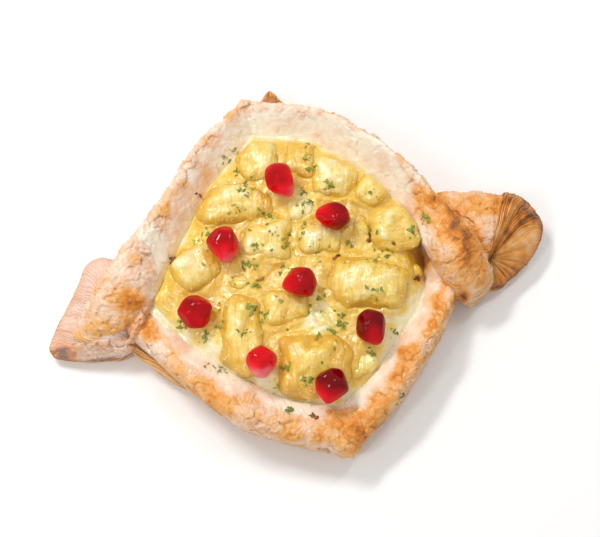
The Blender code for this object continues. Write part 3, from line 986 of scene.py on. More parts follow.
@dataclass(frozen=True)
class Rim:
    """One L-shaped rim of the frame: a fold of dough carried from end to end over its corner."""

    name: str
    left: tuple[Station, ...]
    right: tuple[Station, ...]
    outward: int
    seed: int
    blunt: Pair = (2.4, 2.4)
    rows: int = 810
    columns: int = 118

    def frames(self, rows: int) -> tuple[Array, Array, Array]:
        """Stations along the rim, the plan vector across it at each, and the distance from its start.

        The vector is square to the path, turned by the station's skew, and near the corner it turns
        into the corner's mitre.

        Args:
            rows: How many stations to give back.

        Returns:
            Stations, vectors and distances, one a row.
        """
        arms = [curve(self.left, rows // 2), curve(self.right, rows - rows // 2 + 1)]
        sides = []
        for arm in arms:
            along = np.gradient(arm[:, :2], axis=0)
            along /= np.linalg.norm(along, axis=1)[:, None]
            turn = np.radians(arm[:, 6])
            out = self.outward * np.column_stack((-along[:, 1], along[:, 0]))
            across = np.column_stack((-out[:, 1], out[:, 0]))
            sides.append(out * np.cos(turn)[:, None] + across * np.sin(turn)[:, None])
        first, second = sides[0][-1], sides[1][0]
        mitre = (first + second) / (1 + first @ second)
        stations = np.vstack((arms[0], arms[1][1:]))
        vectors = np.vstack((sides[0], sides[1][1:]))
        corner = len(arms[0]) - 1
        away = np.linalg.norm(stations[:, :2] - stations[corner, :2], axis=1)
        share = (1 - eased(away, 0.0, 0.9 * stations[corner, 2]))[:, None]
        return stations, vectors * (1 - share) + mitre * share, distances(stations)

    def inner_edge(self, offset: float) -> Array:
        """The rim's inner edge in plan, drawn towards the filling by an offset."""
        stations, sides, _ = self.frames(120)
        return stations[:, :2] - sides * (stations[:, 2:3] / 2 + offset)

    def section(self, slope: Array) -> tuple[Array, Array, Array]:
        """The section at every station: a closed curve blended from the round fold and the wall.

        Args:
            slope: How far each station is a wall, one a row.

        Returns:
            Each column's step, and the shares of half the width and of the height, row by row.
        """
        dense = np.arange(len(ROUND) * SECTION_STEPS) / SECTION_STEPS
        crowded = np.cumsum(np.interp(dense, *CROWDING))
        step = np.interp(np.linspace(crowded[0], crowded[-1], self.columns), crowded, dense)
        pick = np.round(step * SECTION_STEPS).astype(int)
        fold, wall = (spans(shape, SECTION_STEPS, True)[None, pick] for shape in (ROUND, SLOPED))
        mixed = fold * (1 - slope[..., None]) + wall * slope[..., None]
        return step[None], mixed[..., 0], mixed[..., 1]

    def zones(
        self, step: Array, border: Array, slope: Array, wander: Array, whole: Array
    ) -> dict[Crust, Array]:
        """Shares out the looks by step: pale slope, flaky top, leafy side and flat underside.

        Args:
            step: Each column's step along the section.
            border: The step at which the pale slope ends, at each station.
            slope: How far each station is a wall.
            wander: Noise that moves the borders, at each station.
            whole: 1 along the rim, falling to 0 at its blunt ends.

        Returns:
            How strongly each look holds at each point.
        """
        foot = eased(step, 0.9, 1.5)
        border = border + 0.8 * wander
        cream = foot * (1 - eased(step, border - 0.5, border + 0.5)) * whole
        outer = 1 - eased(step + 0.5 * wander, 7.8, 8.4)
        below = np.clip(eased(step, 9.5, 9.9) + 1 - eased(step, 0.7, 1.1), 0, 1)
        looks = {Crust.CREAM: cream, Crust.FLAKY: foot * outer * whole - cream, Crust.UNDER: below * whole}
        looks[Crust.LEAVES] = np.clip(1 - sum(looks.values()), 0, 1)
        looks[Crust.GLAZED] = (1 - eased(step, 2.2, 3.9 + 0.7 * wander)) * cream * slope
        return looks

    def build(self, dough: Dough) -> Skin:
        """Carries the section along the rim and dresses it.

        Towards an end the section shrinks as a quarter of a fourth-power circle, which leaves a
        blunt face. Along a raised stretch the outer side's foot is drawn down as a skirt, so that
        it hangs over the sheet below.

        Args:
            dough: How the dough looks.

        Returns:
            The rim's surface.
        """
        stations, sides, run = self.frames(self.rows)
        x, y, width, low, high, lift, _, slope, border = (stations[:, i, None] for i in range(9))
        run = run[:, None]
        step, across, up = self.section(slope)
        start, end = (
            np.clip(gone / blunt, 0, 1) for gone, blunt in zip((run, run[-1] - run), self.blunt)
        )
        size = np.maximum((1 - (1 - np.minimum(start, end)) ** 4) ** 0.25, 0.06)
        row = np.stack((run, 0 * run, 0 * run), -1)
        puff, wander = noise(row / 13, self.seed), 1.5 * fractal(row / 6, self.seed + 1, 4)
        place = across * width / 2 * (1 + 0.05 * puff) * size
        height = (low + high) / 2 + (up - 0.5) * (high - low) * size + up * (lift * across + 0.5 * puff)
        whole = eased(np.minimum(run, run[-1] - run), 0.6, 2.6)
        skirt = eased(step, 7.9, 9.3) * (1 - eased(step, 10.4, 11.4)) * np.clip(low - 2.2, 0, 3.0) * whole
        place, height = place - 0.32 * skirt, height - skirt
        skin = raised(np.stack((x + sides[:, :1] * place, y + sides[:, 1:] * place), axis=-1), height)
        zones = self.zones(step, border, slope, wander, whole)
        dough.dress(skin, zones, height / dough.leaf, np.broadcast_to(run, height.shape), self.seed)
        return skin


class Fold(NamedTuple):
    """A radial valley in an ear: its direction in degrees, depth and angular width."""

    angle: float
    depth: float
    width: float


class Sector(NamedTuple):
    """A look between two directions of an ear, in degrees."""

    start: float
    end: float
    look: Crust
    bake: float = 0.0


@dataclass(frozen=True)
class Ear:
    """A knotted ear: dough drawn together at a pivot and spread out like a fan round it.

    The hub is the pivot's height. The outline has the rim's place and height, and the dome has pairs
    of a direction and a height. A pleat is how many degrees a leaf of the fan takes, and how far its
    smooth dough looks like leaves.
    """

    name: str
    pivot: Pair
    hub: float
    outline: tuple[Place, ...]
    dome: tuple[Pair, ...]
    folds: tuple[Fold, ...]
    sectors: tuple[Sector, ...]
    pleat: Pair
    seed: int
    rosy: float = 0.0
    columns: int = 690
    rows: tuple[int, int, int] = (8, 34, 100)

    def rim(self, angle: Array, directions: Array) -> tuple[Array, Array]:
        """How far and how high the ear's rim is in each direction from the pivot.

        Args:
            angle: The directions as angles.
            directions: The same as unit vectors.

        Returns:
            A distance and a height for each direction.
        """
        loop = curve(np.array(self.outline), 240, closed=True)
        pivot = np.array(self.pivot)
        far = reach(pivot, directions, np.vstack((loop, loop[:1]))[:, :2])
        around = np.arctan2(*(loop[:, :2] - pivot).T[::-1])
        order = np.argsort(around)
        return far, np.interp(angle, around[order], loop[:, 2][order], period=2 * math.pi)

    def looks(self, degrees: Array, above: Array) -> tuple[dict[Crust, Array], Array]:
        """Gives each sector its look on top, with soft borders.

        Args:
            degrees: Each column's direction.
            above: 1 on top of each row, and 0 below and at the side.

        Returns:
            How strongly each look holds, and the sectors' own browning.
        """
        zones: dict[Crust, Array] = {}
        browned = np.zeros((len(above), len(degrees)))
        for sector in self.sectors:
            middle, half = (sector.start + sector.end) / 2, (sector.end - sector.start) / 2
            apart = np.abs((degrees - middle + 180) % 360 - 180)
            inside = (1 - eased(apart, half - 2, half + 2))[None] * above
            zones[sector.look] = zones.get(sector.look, 0) + inside
            browned = browned + sector.bake * inside
        return zones, browned

    def build(self, dough: Dough) -> Skin:
        """Spans the ear from under its pivot, out to its rim, up its side and back over its top.

        The top's height runs from the pivot's to the rim's with the distance, plus a dome that is
        highest half-way, minus Gaussian valleys at the folds that deepen outwards.

        Args:
            dough: How the dough looks.

        Returns:
            The ear's surface.
        """
        angle, directions = compass(self.columns, -math.pi)
        degrees = np.degrees(angle)
        far, rim = self.rim(angle, directions)
        dome = np.interp(degrees, [a for a, _ in self.dome], [h for _, h in self.dome], period=360)
        base, side, top = self.rows
        under = np.linspace(0.04, 0.94, base)[:, None]
        rise = np.linspace(0, 1, side)[:, None]
        share = np.linspace(0.985, 0.012, top)[:, None]
        valley = np.zeros((1, self.columns))
        for fold in self.folds:
            apart = (degrees - fold.angle + 180) % 360 - 180
            valley += fold.depth * np.exp(-((apart / fold.width) ** 2))
        wall = 0.90 + 0.14 * eased(rise, 0.0, 0.85)
        radius = np.vstack((far * under * 0.95, far * wall, far * share * 1.04))
        level = self.hub + (rim - self.hub) * share**1.1 + dome * 4 * share * (1 - share)
        level = level - valley * eased(share, 0.05, 0.5) * (1 - 0.6 * eased(share, 0.8, 1.0))
        level = level * (1 - np.clip((share - 0.80) / 0.20, 0, 1) ** 2.4 * 0.22)
        height = np.vstack((np.zeros((base, self.columns)), level[:1] * rise, level))
        skin = raised(np.array(self.pivot) + directions * radius[..., None], height)
        above = np.vstack((np.zeros((base, 1)), eased(rise, 0.75, 1.0), np.ones((top, 1))))
        below = np.vstack((np.ones((base, 1)), 1 - eased(rise, 0.0, 0.08), np.zeros((top, 1))))
        zones, browned = self.looks(degrees, above)
        zones[Crust.UNDER] = below * np.ones((1, self.columns))
        pitch, strength = self.pleat
        fan = above * zones[Crust.SMOOTH]
        cut = np.clip(zones.get(Crust.LEAVES, 0) + (1 - above) * (1 - below), 0, 1)
        zones[Crust.LEAVES] = cut + strength * fan
        zones[Crust.SMOOTH] = zones[Crust.SMOOTH] - strength * fan
        ruffle = 1.6 * noise(skin.points / 7, self.seed + 70)
        ruffle += 0.7 * noise(skin.points / 2.2, self.seed + 71)
        leaves = above * (degrees[None] / pitch + ruffle) + (1 - above) * height / dough.leaf
        dough.dress(skin, zones, leaves, np.where(above > 0.5, radius, angle[None] * far), self.seed)
        # Painted shade in the folds' valleys: they darken the gap layer and brown the bake layer.
        folds = np.clip(valley, 0, 1) * above * eased(radius / far, 0.1, 0.5)
        skin.layers["rosy"] = self.rosy * (above * 0.6 + fan * 0.4)
        skin.layers["gap"] = np.clip(skin.layers["gap"] + 0.4 * folds, 0, 1)
        browned = browned * (1 + 0.8 * fractal(skin.points / 3.0, self.seed + 80, 3))
        skin.layers["bake"] += browned + 0.15 * folds + 0.16 * fan * eased(radius / far, 0.86, 1.0)
        return skin


@dataclass(frozen=True)
class Base:
    """The bottom sheet of dough: it shows as a thin brown edge below the frame."""

    corners: tuple[Pair, ...] = ((6.2, 56.8), (-49.6, -6.4), (0.0, -49.8), (44.6, -6.2))
    bulge: float = 3.0
    height: float = 7.0
    floor: float = 6.0
    curl: Spot = Spot(6.0, 54.5, 5.5, 4.6)
    side: float = 1.3
    waves: float = 0.9
    seed: int = 61

    def build(self, dough: Dough) -> Skin:
        """Joins the corners by shallow arches and gives the sheet a flat foot and a leafy side.

        An arch is 4 t (1 - t) times the bulge. The side swells by noise between foot and top, and
        the sheet curls up at its far corner.

        Args:
            dough: How the dough looks.

        Returns:
            The sheet's surface.
        """
        corners = np.array(self.corners)
        share = np.linspace(0, 1, 170, endpoint=False)[:, None]
        sides = []
        for a, b in zip(corners, np.roll(corners, -1, axis=0)):
            out = np.array(((b - a)[1], -(b - a)[0])) / np.linalg.norm(b - a)
            out *= np.sign(out @ (a + b))
            sides.append(a + (b - a) * share + out * self.bulge * 4 * share * (1 - share))
        outline = np.vstack(sides)
        middle = outline.mean(axis=0)
        away = outline - middle
        far = np.linalg.norm(away, axis=1)[None]
        rise = np.linspace(0, 1, 44)[:, None]
        under = np.linspace(0.05, 0.97, 10)[:, None]
        over = np.linspace(0.97, 0.10, 12)[:, None]
        run = distances(outline)[None]
        wavy = np.stack(np.broadcast_arrays(rise * 3.0, run / 10, 0.0), -1)
        swell = (self.side + self.waves * noise(wavy, self.seed + 5)) * np.sin(math.pi * rise) ** 0.6
        width = np.vstack((far * under, far - self.side + swell, far * over))
        wide = middle + (away / far.T) * width[..., None]
        curl = self.curl.over(wide)
        height = np.vstack((under * 0, rise, over * 0 + self.floor / self.height)) * (self.height + curl)
        skin = raised(wide, height)
        cut = np.vstack((under * 0, eased(rise, 0.0, 0.06), over * 0)) * np.ones_like(width)
        below = np.vstack((under * 0 + 1, 1 - eased(rise, 0.0, 0.06), over * 0)) * np.ones_like(width)
        zones = {Crust.LEAVES: cut, Crust.UNDER: below, Crust.SMOOTH: np.clip(1 - cut - below, 0, 1)}
        dough.dress(skin, zones, height / dough.leaf, np.broadcast_to(run, width.shape), self.seed)
        skin.layers["bake"] += 0.10 * cut + 0.015 * curl
        return skin


@dataclass(frozen=True)
class Pastry:
    """The folded dough: base, two rims that cross twice and the ears at the crossings."""

    upper: Rim = Rim(
        "upper_rim",
        (
            Station(-59.2, -3.8, 15.0, 0.8, 10.5, 0.0, 24.0, 0.0, 1.6),
            Station(-55.6, 0.0, 15.6, 1.5, 14.5, -0.5, 16.0, 0.0, 1.8),
            Station(-50.8, 4.2, 15.2, 4.0, 18.5, 0.0, 8.0, 0.1, 2.3),
            Station(-44.8, 9.9, 14.0, 7.0, 21.0, 0.5, 2.0, 0.4, 3.0),
            Station(-37.6, 16.9, 11.6, 7.0, 21.0, 1.0, 0.0, 0.6, 4.0),
            Station(-29.0, 26.2, 10.2, 5.5, 19.5, 1.0, 0.0, 0.6, 4.8),
            Station(-17.4, 38.0, 9.4, 5.0, 18.5, 1.0, 0.0, 0.7, 5.0),
            Station(-1.8, 48.6, 9.6, 5.0, 17.0, 0.5, 0.0, 0.9, 5.6),
        ),
        (
            Station(-1.8, 48.6, 9.6, 5.0, 17.0, 0.5, 0.0, 0.9, 5.6),
            Station(16.4, 41.0, 9.0, 5.0, 17.6, 1.0, 0.0, 1.0, 6.2),
            Station(26.6, 31.2, 8.4, 5.0, 18.6, 1.5, 0.0, 1.0, 6.3),
            Station(34.4, 20.1, 7.8, 5.5, 19.6, 1.5, 0.0, 1.0, 5.8),
            Station(39.4, 9.2, 9.0, 7.5, 20.8, 1.0, 0.0, 0.6, 4.0),
            Station(42.2, 0.4, 12.0, 11.0, 22.0, 0.5, 0.0, 0.1, 2.5),
            Station(44.6, -7.2, 13.0, 10.0, 21.5, 0.0, 0.0, 0.0, 1.9),
            Station(47.4, -13.6, 12.4, 6.0, 17.0, 0.0, 0.0, 0.0, 1.6),
            Station(49.6, -17.2, 9.6, 2.5, 11.5, 0.0, 0.0, 0.0, 1.6),
        ),
        1,
        11,
    )
    lower: Rim = Rim(
        "lower_rim",
        (
            Station(-56.0, 10.3, 11.0, 2.5, 12.0, 0.0, 0.0, 0.3, 3.0),
            Station(-47.2, 2.4, 11.4, 3.5, 12.5, 0.0, 0.0, 0.4, 3.4),
            Station(-39.8, -8.4, 10.2, 4.5, 14.0, 0.0, 0.0, 0.5, 4.3),
            Station(-31.8, -20.6, 10.6, 4.5, 17.0, 0.0, 0.0, 0.5, 4.6),
            Station(-18.0, -34.9, 11.4, 4.5, 17.5, 0.0, 0.0, 0.5, 4.7),
            Station(1.6, -44.8, 11.8, 4.5, 15.5, -1.0, 0.0, 0.4, 4.2),
        ),
        (
            Station(1.6, -44.8, 11.8, 4.5, 15.5, -1.0, 0.0, 0.4, 4.2),
            Station(14.2, -37.4, 10.8, 4.5, 17.0, 0.0, 0.0, 0.4, 4.0),
            Station(24.8, -28.4, 9.8, 4.5, 17.0, 0.0, 0.0, 0.5, 4.3),
            Station(34.0, -19.0, 9.4, 4.5, 15.5, 0.0, 0.0, 0.5, 4.4),
            Station(39.8, -9.8, 9.8, 4.0, 12.5, 0.0, 0.0, 0.5, 4.6),
            Station(44.8, -0.4, 11.4, 3.5, 11.5, 0.0, 0.0, 0.4, 4.6),
            Station(52.0, 5.3, 12.0, 3.0, 13.0, 0.0, 0.0, 0.0, 4.0),
        ),
        -1,
        29,
    )
    right_ear: Ear = Ear(
        "right_ear",
        (53.0, -8.6),
        12.6,
        (
            (44.0, 11.6, 14.0), (49.4, 12.0, 14.5), (57.4, 9.4, 14.5), (63.8, 7.6, 14.0),
            (67.0, 6.0, 12.5), (69.6, 2.2, 10.5), (71.0, -1.8, 8.5), (69.0, -6.0, 8.0),
            (65.4, -9.6, 7.5), (61.4, -12.2, 7.5), (57.8, -14.0, 7.5), (54.4, -15.6, 8.0),
            (49.0, -14.0, 9.0), (45.0, -8.0, 12.0), (42.6, 2.0, 13.0),
        ),
        (
            (-180, 1.0), (-90, 0.3), (-30, 0.8), (20, 1.4), (44, 1.6),
            (54, 3.0), (64, 2.2), (90, 2.6), (140, 1.0),
        ),
        (
            Fold(32.0, 0.9, 4.0), Fold(20.0, 0.4, 3.0), Fold(4.0, 0.3, 4.0), Fold(-14.0, 0.5, 3.0),
            Fold(-28.0, 0.9, 4.0), Fold(-42.0, 0.5, 3.0), Fold(-55.0, 0.8, 3.0), Fold(66.0, 0.5, 3.0),
        ),
        (
            Sector(62, 190, Crust.FLAKY, 0.10),
            Sector(26, 62, Crust.LEAVES, 0.40),
            Sector(-170, 26, Crust.SMOOTH, 0.30),
        ),
        (2.3, 0.30),
        43,
    )
    left_ear: Ear = Ear(
        "left_ear",
        (-48.8, -5.0),
        12.0,
        (
            (-42.0, 19.2, 13.0), (-47.2, 17.0, 13.0), (-51.7, 18.8, 12.5), (-55.9, 17.8, 11.0),
            (-58.8, 14.2, 9.0), (-62.0, 10.4, 7.5), (-66.2, 5.6, 6.5), (-70.2, 0.4, 5.0),
            (-70.2, -2.4, 4.5), (-66.5, -4.6, 4.5), (-60.0, -6.6, 5.0), (-50.0, -7.6, 7.0),
            (-44.0, -2.0, 11.0), (-38.0, 8.0, 13.0),
        ),
        ((-180, 1.0), (90, 2.4), (130, 3.0), (165, 2.0)),
        (Fold(128.0, 0.4, 3.0), Fold(143.0, 0.5, 3.0), Fold(157.0, 0.4, 3.0)),
        (
            Sector(80, 170, Crust.SMOOTH, -0.12),
            Sector(170, 208, Crust.FLAKY, 0.04),
            Sector(-152, 80, Crust.FLAKY, -0.04),
        ),
        (2.9, 0.40),
        53,
        1.0,
    )
    base: Base = Base()

    def build(self, dough: Dough, finish: bpy.types.Material) -> list[bpy.types.Object]:
        """Builds every piece of dough, all standing for the one pastry solid.

        Args:
            dough: How the dough looks.
            finish: Its material.

        Returns:
            The base, the lower rim, the two ears and the upper rim.
        """
        made = [seated(self.base.build(dough).mesh("base_sheet"), finish, "pastry", "pastry")]
        # The lower rim takes the painted shadow spots as well as the browned ones.
        shaded = replace(dough, browning_and_shadow_spots=TOASTED + SHADED)
        ears = ((self.left_ear, dough), (self.right_ear, dough))
        for part, look in ((self.lower, shaded), *ears, (self.upper, dough)):
            made.append(seated(part.build(look).mesh(part.name), finish, "pastry", "pastry"))
        return made

    def inner_reach(self, middle: Array, directions: Array, offset: float) -> Array:
        """How far each direction runs to the frame's inner edge, drawn in by an offset."""
        edges = (self.upper.inner_edge(offset), self.lower.inner_edge(offset))
        return np.min([reach(middle, directions, edge) for edge in edges], axis=0)


# ---------------------------------------------------------------- the filling


class Grain(Enum):
    """Which way a pineapple chunk's fibres run."""

    ALONG = 0.0
    ACROSS = 90.0


class Chunk(NamedTuple):
    """A pineapple chunk: plan place and size, turn, taper, thickness, slopes, tone and fibres."""

    x: float
    y: float
    length: float
    width: float
    turn: float
    taper: float
    thickness: float
    rise_right: float
    rise_back: float
    tone: float
    grain: Grain = Grain.ACROSS

    def axes(self) -> tuple[Array, Array, Array]:
        """Its middle, its two plan directions as rows, and its half length and half width."""
        turned = math.radians(self.turn)
        along = (math.cos(turned), math.sin(turned))
        middle, half = np.array((self.x, self.y)), np.array((self.length, self.width)) / 2
        return middle, np.array((along, (-along[1], along[0]))), half


CHUNKS = (
    Chunk(-2.4, 34.8, 12.4, 12.4, -14, 0.10, 6.6, -0.05, -0.10, 0.10),
    Chunk(9.4, 33.0, 12.0, 12.6, -20, -0.10, 6.0, 0.05, -0.12, 0.34),
    Chunk(16.6, 24.0, 13.6, 12.8, -14, 0.15, 6.6, -0.05, 0.05, 0.00),
    Chunk(26.6, 19.4, 9.4, 12.4, -36, 0.10, 5.8, 0.05, 0.00, 0.30),
    Chunk(29.6, 5.6, 14.0, 13.0, -10, 0.08, 7.2, 0.03, 0.06, 0.22, Grain.ALONG),
    Chunk(-11.6, 23.6, 24.0, 12.4, -12, 0.10, 7.0, -0.03, 0.05, 0.26),
    Chunk(-6.0, 11.4, 15.6, 12.0, -14, -0.12, 6.4, 0.05, 0.05, 0.08),
    Chunk(8.0, 7.6, 14.6, 10.4, -16, 0.08, 6.0, 0.04, 0.00, 0.10),
    Chunk(-26.0, 9.0, 15.6, 13.4, 6, 0.12, 6.4, -0.07, 0.04, 0.16),
    Chunk(-15.4, 2.8, 9.8, 7.4, -16, 0.08, 4.6, 0.00, 0.00, 0.46, Grain.ALONG),
    Chunk(18.8, -8.0, 24.0, 16.0, -24, 0.12, 7.8, 0.03, 0.04, 0.24),
    Chunk(-18.4, -12.8, 24.0, 13.4, 78, 0.14, 7.4, -0.05, 0.00, 0.24, Grain.ALONG),
    Chunk(-5.2, -8.6, 15.6, 11.0, -8, 0.12, 6.2, 0.05, 0.04, 0.20),
    Chunk(3.4, -15.0, 9.0, 7.0, -14, 0.10, 4.8, 0.00, 0.00, -0.15),
    Chunk(-2.0, -25.8, 22.0, 18.0, -10, 0.12, 7.6, 0.00, 0.06, 0.50),
    Chunk(11.6, -28.6, 12.0, 6.6, 64, 0.10, 4.0, 0.00, 0.00, 0.05, Grain.ALONG),
    Chunk(31.4, -6.8, 4.6, 4.4, 20, 0.00, 1.8, 0.00, 0.00, 0.50),
    Chunk(5.8, 18.2, 9.4, 7.6, -16, 0.10, 5.0, 0.00, 0.00, 0.02),
    Chunk(20.8, 9.2, 6.0, 8.4, -14, 0.05, 5.0, 0.00, 0.00, 0.40, Grain.ALONG),
)


@dataclass(frozen=True)
class Pineapple:
    """The pineapple chunks, packed so that neighbours press flat against each other."""

    pastry: Pastry
    foot: float = 9.6
    pressed: float = 0.9
    ledge: float = 0.4
    squareness: float = 3.6
    roundness: float = 3.2
    waviness: float = 0.10
    softening: float = 3.4
    facets: float = 0.9
    lumps: float = 0.40
    ribs: float = 0.20
    rib_width: float = 3.1
    columns: int = 150
    rows: tuple[int, int] = (6, 74)

    def parting(self, one: Chunk, other: Chunk) -> tuple[Array, float]:
        """The straight cut between two chunks.

        Of the directions of both chunks' sides and of the line between their middles, the one in
        which they are furthest apart, or overlap least, is square to the cut, which halves that gap.

        Args:
            one: The chunk that is cut.
            other: Its neighbour.

        Returns:
            The direction towards the neighbour, and how far the cut is from the first's middle.
        """
        here, own, half = one.axes()
        there, others, half_other = other.axes()
        away = there - here
        normals = np.vstack((own, others, away / np.linalg.norm(away)))
        normals = normals * np.where(normals @ away < 0, -1, 1)[:, None]
        mine = np.abs(normals @ own.T) @ half
        free = normals @ away - mine - np.abs(normals @ others.T) @ half_other
        best = int(np.argmax(free))
        return normals[best], mine[best] + free[best] / 2

    def outline(self, chunk: Chunk, directions: Array) -> Array:
        """How far a chunk reaches in each direction from its middle.

        A squarish tapered oval, |a|^n + |b|^n = 1, made uneven by noise and cut back at every
        neighbour and at the frame. Each distance is then averaged with those beside it, weighted
        as a bell curve, so that the corners are soft.

        Args:
            chunk: The chunk.
            directions: Unit vectors all the way round.

        Returns:
            A distance for each direction.
        """
        middle, axes, half = chunk.axes()
        local = directions @ axes.T
        taper = 1 - chunk.taper * np.clip(local[:, 0] * 1.2, -1, 1)
        shape = np.abs(local[:, 0] / half[0]) ** self.squareness
        shape += np.abs(local[:, 1] / (half[1] * taper)) ** self.squareness
        far = shape ** (-1 / self.squareness)
        around = np.column_stack((1.6 * directions + middle, np.zeros(len(directions))))
        far = far * (1 + self.waviness * noise(around, 221))
        for other in CHUNKS:
            if other is not chunk:
                normal, cut = self.parting(chunk, other)
                far = np.minimum(far, (cut + self.pressed / 2) / np.maximum(directions @ normal, 1e-6))
        far = np.minimum(far, self.pastry.inner_reach(middle, directions, self.ledge))
        aside = round(2 * self.softening)
        weights = np.exp(-((np.arange(-aside, aside + 1) / self.softening) ** 2))
        padded = np.concatenate((far[-aside:], far, far[:aside]))
        return np.convolve(padded, weights / weights.sum(), mode="valid")

    def skin(self, number: int, chunk: Chunk) -> Skin:
        """Raises a chunk over its outline.

        Side and top are one rounded box, |r|^n + |z|^n = 1, whose top slopes two ways. Smooth noise
        makes it lumpy, and low ribs, sine waves bent by noise, run over it.

        Args:
            number: The chunk's number, which seeds its noise.
            chunk: The chunk.

        Returns:
            Its surface.
        """
        _, directions = compass(self.columns)
        far = self.outline(chunk, directions)[None]
        under = np.linspace(0.1, 0.93, self.rows[0])[:, None]
        tip = np.linspace(0.02, math.pi / 2 - 0.02, self.rows[1])[:, None]
        power = 2 / self.roundness
        radius = np.vstack((far * under, far * np.cos(tip) ** power))
        level = np.vstack((under * 0, np.sin(tip) ** power)) * np.ones_like(radius)
        plan = directions * radius[..., None]
        slope = (plan[..., 0] * chunk.rise_right + plan[..., 1] * chunk.rise_back) * level
        height = self.foot + (chunk.thickness + 1.6) * level + slope
        skin = raised(np.array((chunk.x, chunk.y)) + plan, height)
        turned = math.radians(chunk.turn + chunk.grain.value)
        run = plan @ np.array((math.cos(turned), math.sin(turned)))
        cross = plan @ np.array((-math.sin(turned), math.cos(turned)))
        bent = cross + 1.5 * noise(skin.points / 6.0, 200 + number)
        upper = eased(level, 0.2, 0.7)
        rib = np.abs(np.sin(math.pi * (bent / self.rib_width + 0.31 * number))) ** 0.6
        facet = noise(skin.points / 5.0, 230 + number)
        lump = fractal(skin.points / 2.6, 260 + number, 3)
        skin.push(upper * (self.ribs * (rib - 0.6) + self.facets * facet) + self.lumps * lump)
        # Painted light and shade in the deep layer: the top is painted paler and the sides deeper yellow,
        # raised lumps and facets paler and the grooves between ribs deeper, over each chunk's own tone.
        deep = 0.50 + chunk.tone - 0.30 * eased(level, 0.75, 1.0) + 0.05 * (1 - rib)
        deep = deep - 0.34 * lump - 0.30 * facet
        skin.layers["deep"] = deep + 0.18 * (1 - eased(level, 0.5, 0.97))
        skin.layers["across"], skin.layers["along"] = bent, run
        return skin

    def build(self, finish: bpy.types.Material) -> list[bpy.types.Object]:
        """Builds every chunk in place of its own node.

        Args:
            finish: The pineapple's material.

        Returns:
            The chunks in order.
        """
        made = []
        for number, chunk in enumerate(CHUNKS, 1):
            piece = self.skin(number, chunk).mesh(f"chunk_{number:02d}")
            made.append(seated(piece, finish, "pineapple", f"pineapple_{number:02d}"))
        return made


@dataclass(frozen=True)
class Custard:
    """The custard and glaze that fill the frame up between the chunks."""

    pastry: Pastry
    pineapple: Pineapple
    foot: float = 7.6
    level: float = 14.6
    under_rim: float = 2.4
    rim_dip: Pair = (3.4, 3.0)
    meniscus: Pair = (0.8, 1.5)
    hole: Place = (35.8, -4.6, 5.0)
    hole_size: Pair = (3.8, 6.0)
    columns: int = 300
    rows: int = 170
    mounds: tuple[Spot, ...] = (
        Spot(1.9, 26.0, 4.0, 2.4),
        Spot(13.6, 12.0, 4.0, 1.4),
        Spot(-0.2, -4.0, 4.0, 1.2),
        Spot(15.2, -20.6, 4.0, 1.9),
        Spot(-17.6, 12.0, 3.6, 0.6),
    )
    creamy: tuple[Spot, ...] = (
        Spot(2.6, -14.2, 4.4, 0.9),
        Spot(6.6, 19.0, 3.8, 0.7),
        Spot(-8.0, 41.0, 5.0, 0.5),
        Spot(-26.0, -16.0, 6.0, 0.45),
        Spot(-17.0, -29.0, 6.5, 0.45),
        Spot(0.0, -36.0, 7.0, 0.35),
        Spot(22.0, -24.0, 7.0, 0.40),
        Spot(30.0, -15.5, 5.0, 0.40),
    )

    def clearance(self, plan: Array, angle: Array, directions: Array) -> Array:
        """How far each plan point is from the nearest chunk's side.

        Args:
            plan: The points.
            angle: Directions all the way round, as angles.
            directions: The same as unit vectors.

        Returns:
            A distance for each point, 0 inside a chunk.
        """
        clear = np.full(plan.shape[:-1], 20.0)
        for chunk in CHUNKS:
            away = plan - np.array((chunk.x, chunk.y))
            bearing = np.arctan2(away[..., 1], away[..., 0])
            side = self.pineapple.outline(chunk, directions)
            side = np.interp(bearing, angle, side, period=2 * math.pi)
            clear = np.minimum(clear, np.linalg.norm(away, axis=-1) - side)
        return np.clip(clear, 0, None)

    def build(self, finish: bpy.types.Material) -> bpy.types.Object:
        """Spreads the custard over the frame's floor.

        Its height is a level with broad waves, a low mound under each aril that lies between chunks
        and a hollow in the right-hand corner. It climbs the chunks' sides as a meniscus that falls
        off exponentially with the distance to the nearest chunk, and dips likewise to the frame.

        Args:
            finish: The custard's material.

        Returns:
            The custard.
        """
        angle, directions = compass(self.columns)
        far = self.pastry.inner_reach(np.zeros(2), directions, -self.under_rim)[None]
        under = np.linspace(0.1, 1.0, 8)[:, None]
        share = np.linspace(1.0, 0.01, self.rows)[:, None]
        radius = np.vstack((far * under, far * share))
        plan = directions * radius[..., None]
        clear = self.clearance(plan, angle, directions)
        wall = np.clip(far - self.under_rim - radius, 0, None)
        place = np.concatenate((plan, np.zeros((*radius.shape, 1))), axis=-1)
        wave, ripple = fractal(place / 7.0, 301, 4), fractal(place / 2.4, 303, 4)
        climb = self.meniscus[0] * (1 + 0.8 * noise(place / 4.0, 305)) * np.exp(-clear / self.meniscus[1])
        top = self.level + 0.7 * wave + 0.45 * ripple + climb
        top -= self.rim_dip[0] * np.exp(-wall / self.rim_dip[1])
        top += sum(spot.over(plan) for spot in self.mounds)
        top = np.where(np.arange(len(radius))[:, None] < len(under), self.foot, top)
        apart = (plan - np.array(self.hole[:2])) ** 2 / np.array(self.hole_size) ** 2
        hole = 1.1 * np.exp(-apart.sum(axis=-1))
        skin = raised(plan, top - self.hole[2] * hole)
        cream = 0.16 + 0.35 * wave + 0.30 * ripple
        cream += 0.55 * np.exp(-wall / 2.0) - 0.20 * np.exp(-clear / 0.8)
        cream = np.maximum(cream, 0.10) + sum(spot.over(plan) for spot in self.creamy)
        # The hole layer also paints shadow brown into the hollow.
        skin.layers = {"hole": np.clip(hole, 0, 1), "cream": np.clip(cream, 0, 0.95)}
        return seated(skin.mesh("custard_fill"), finish, "custard", "custard")


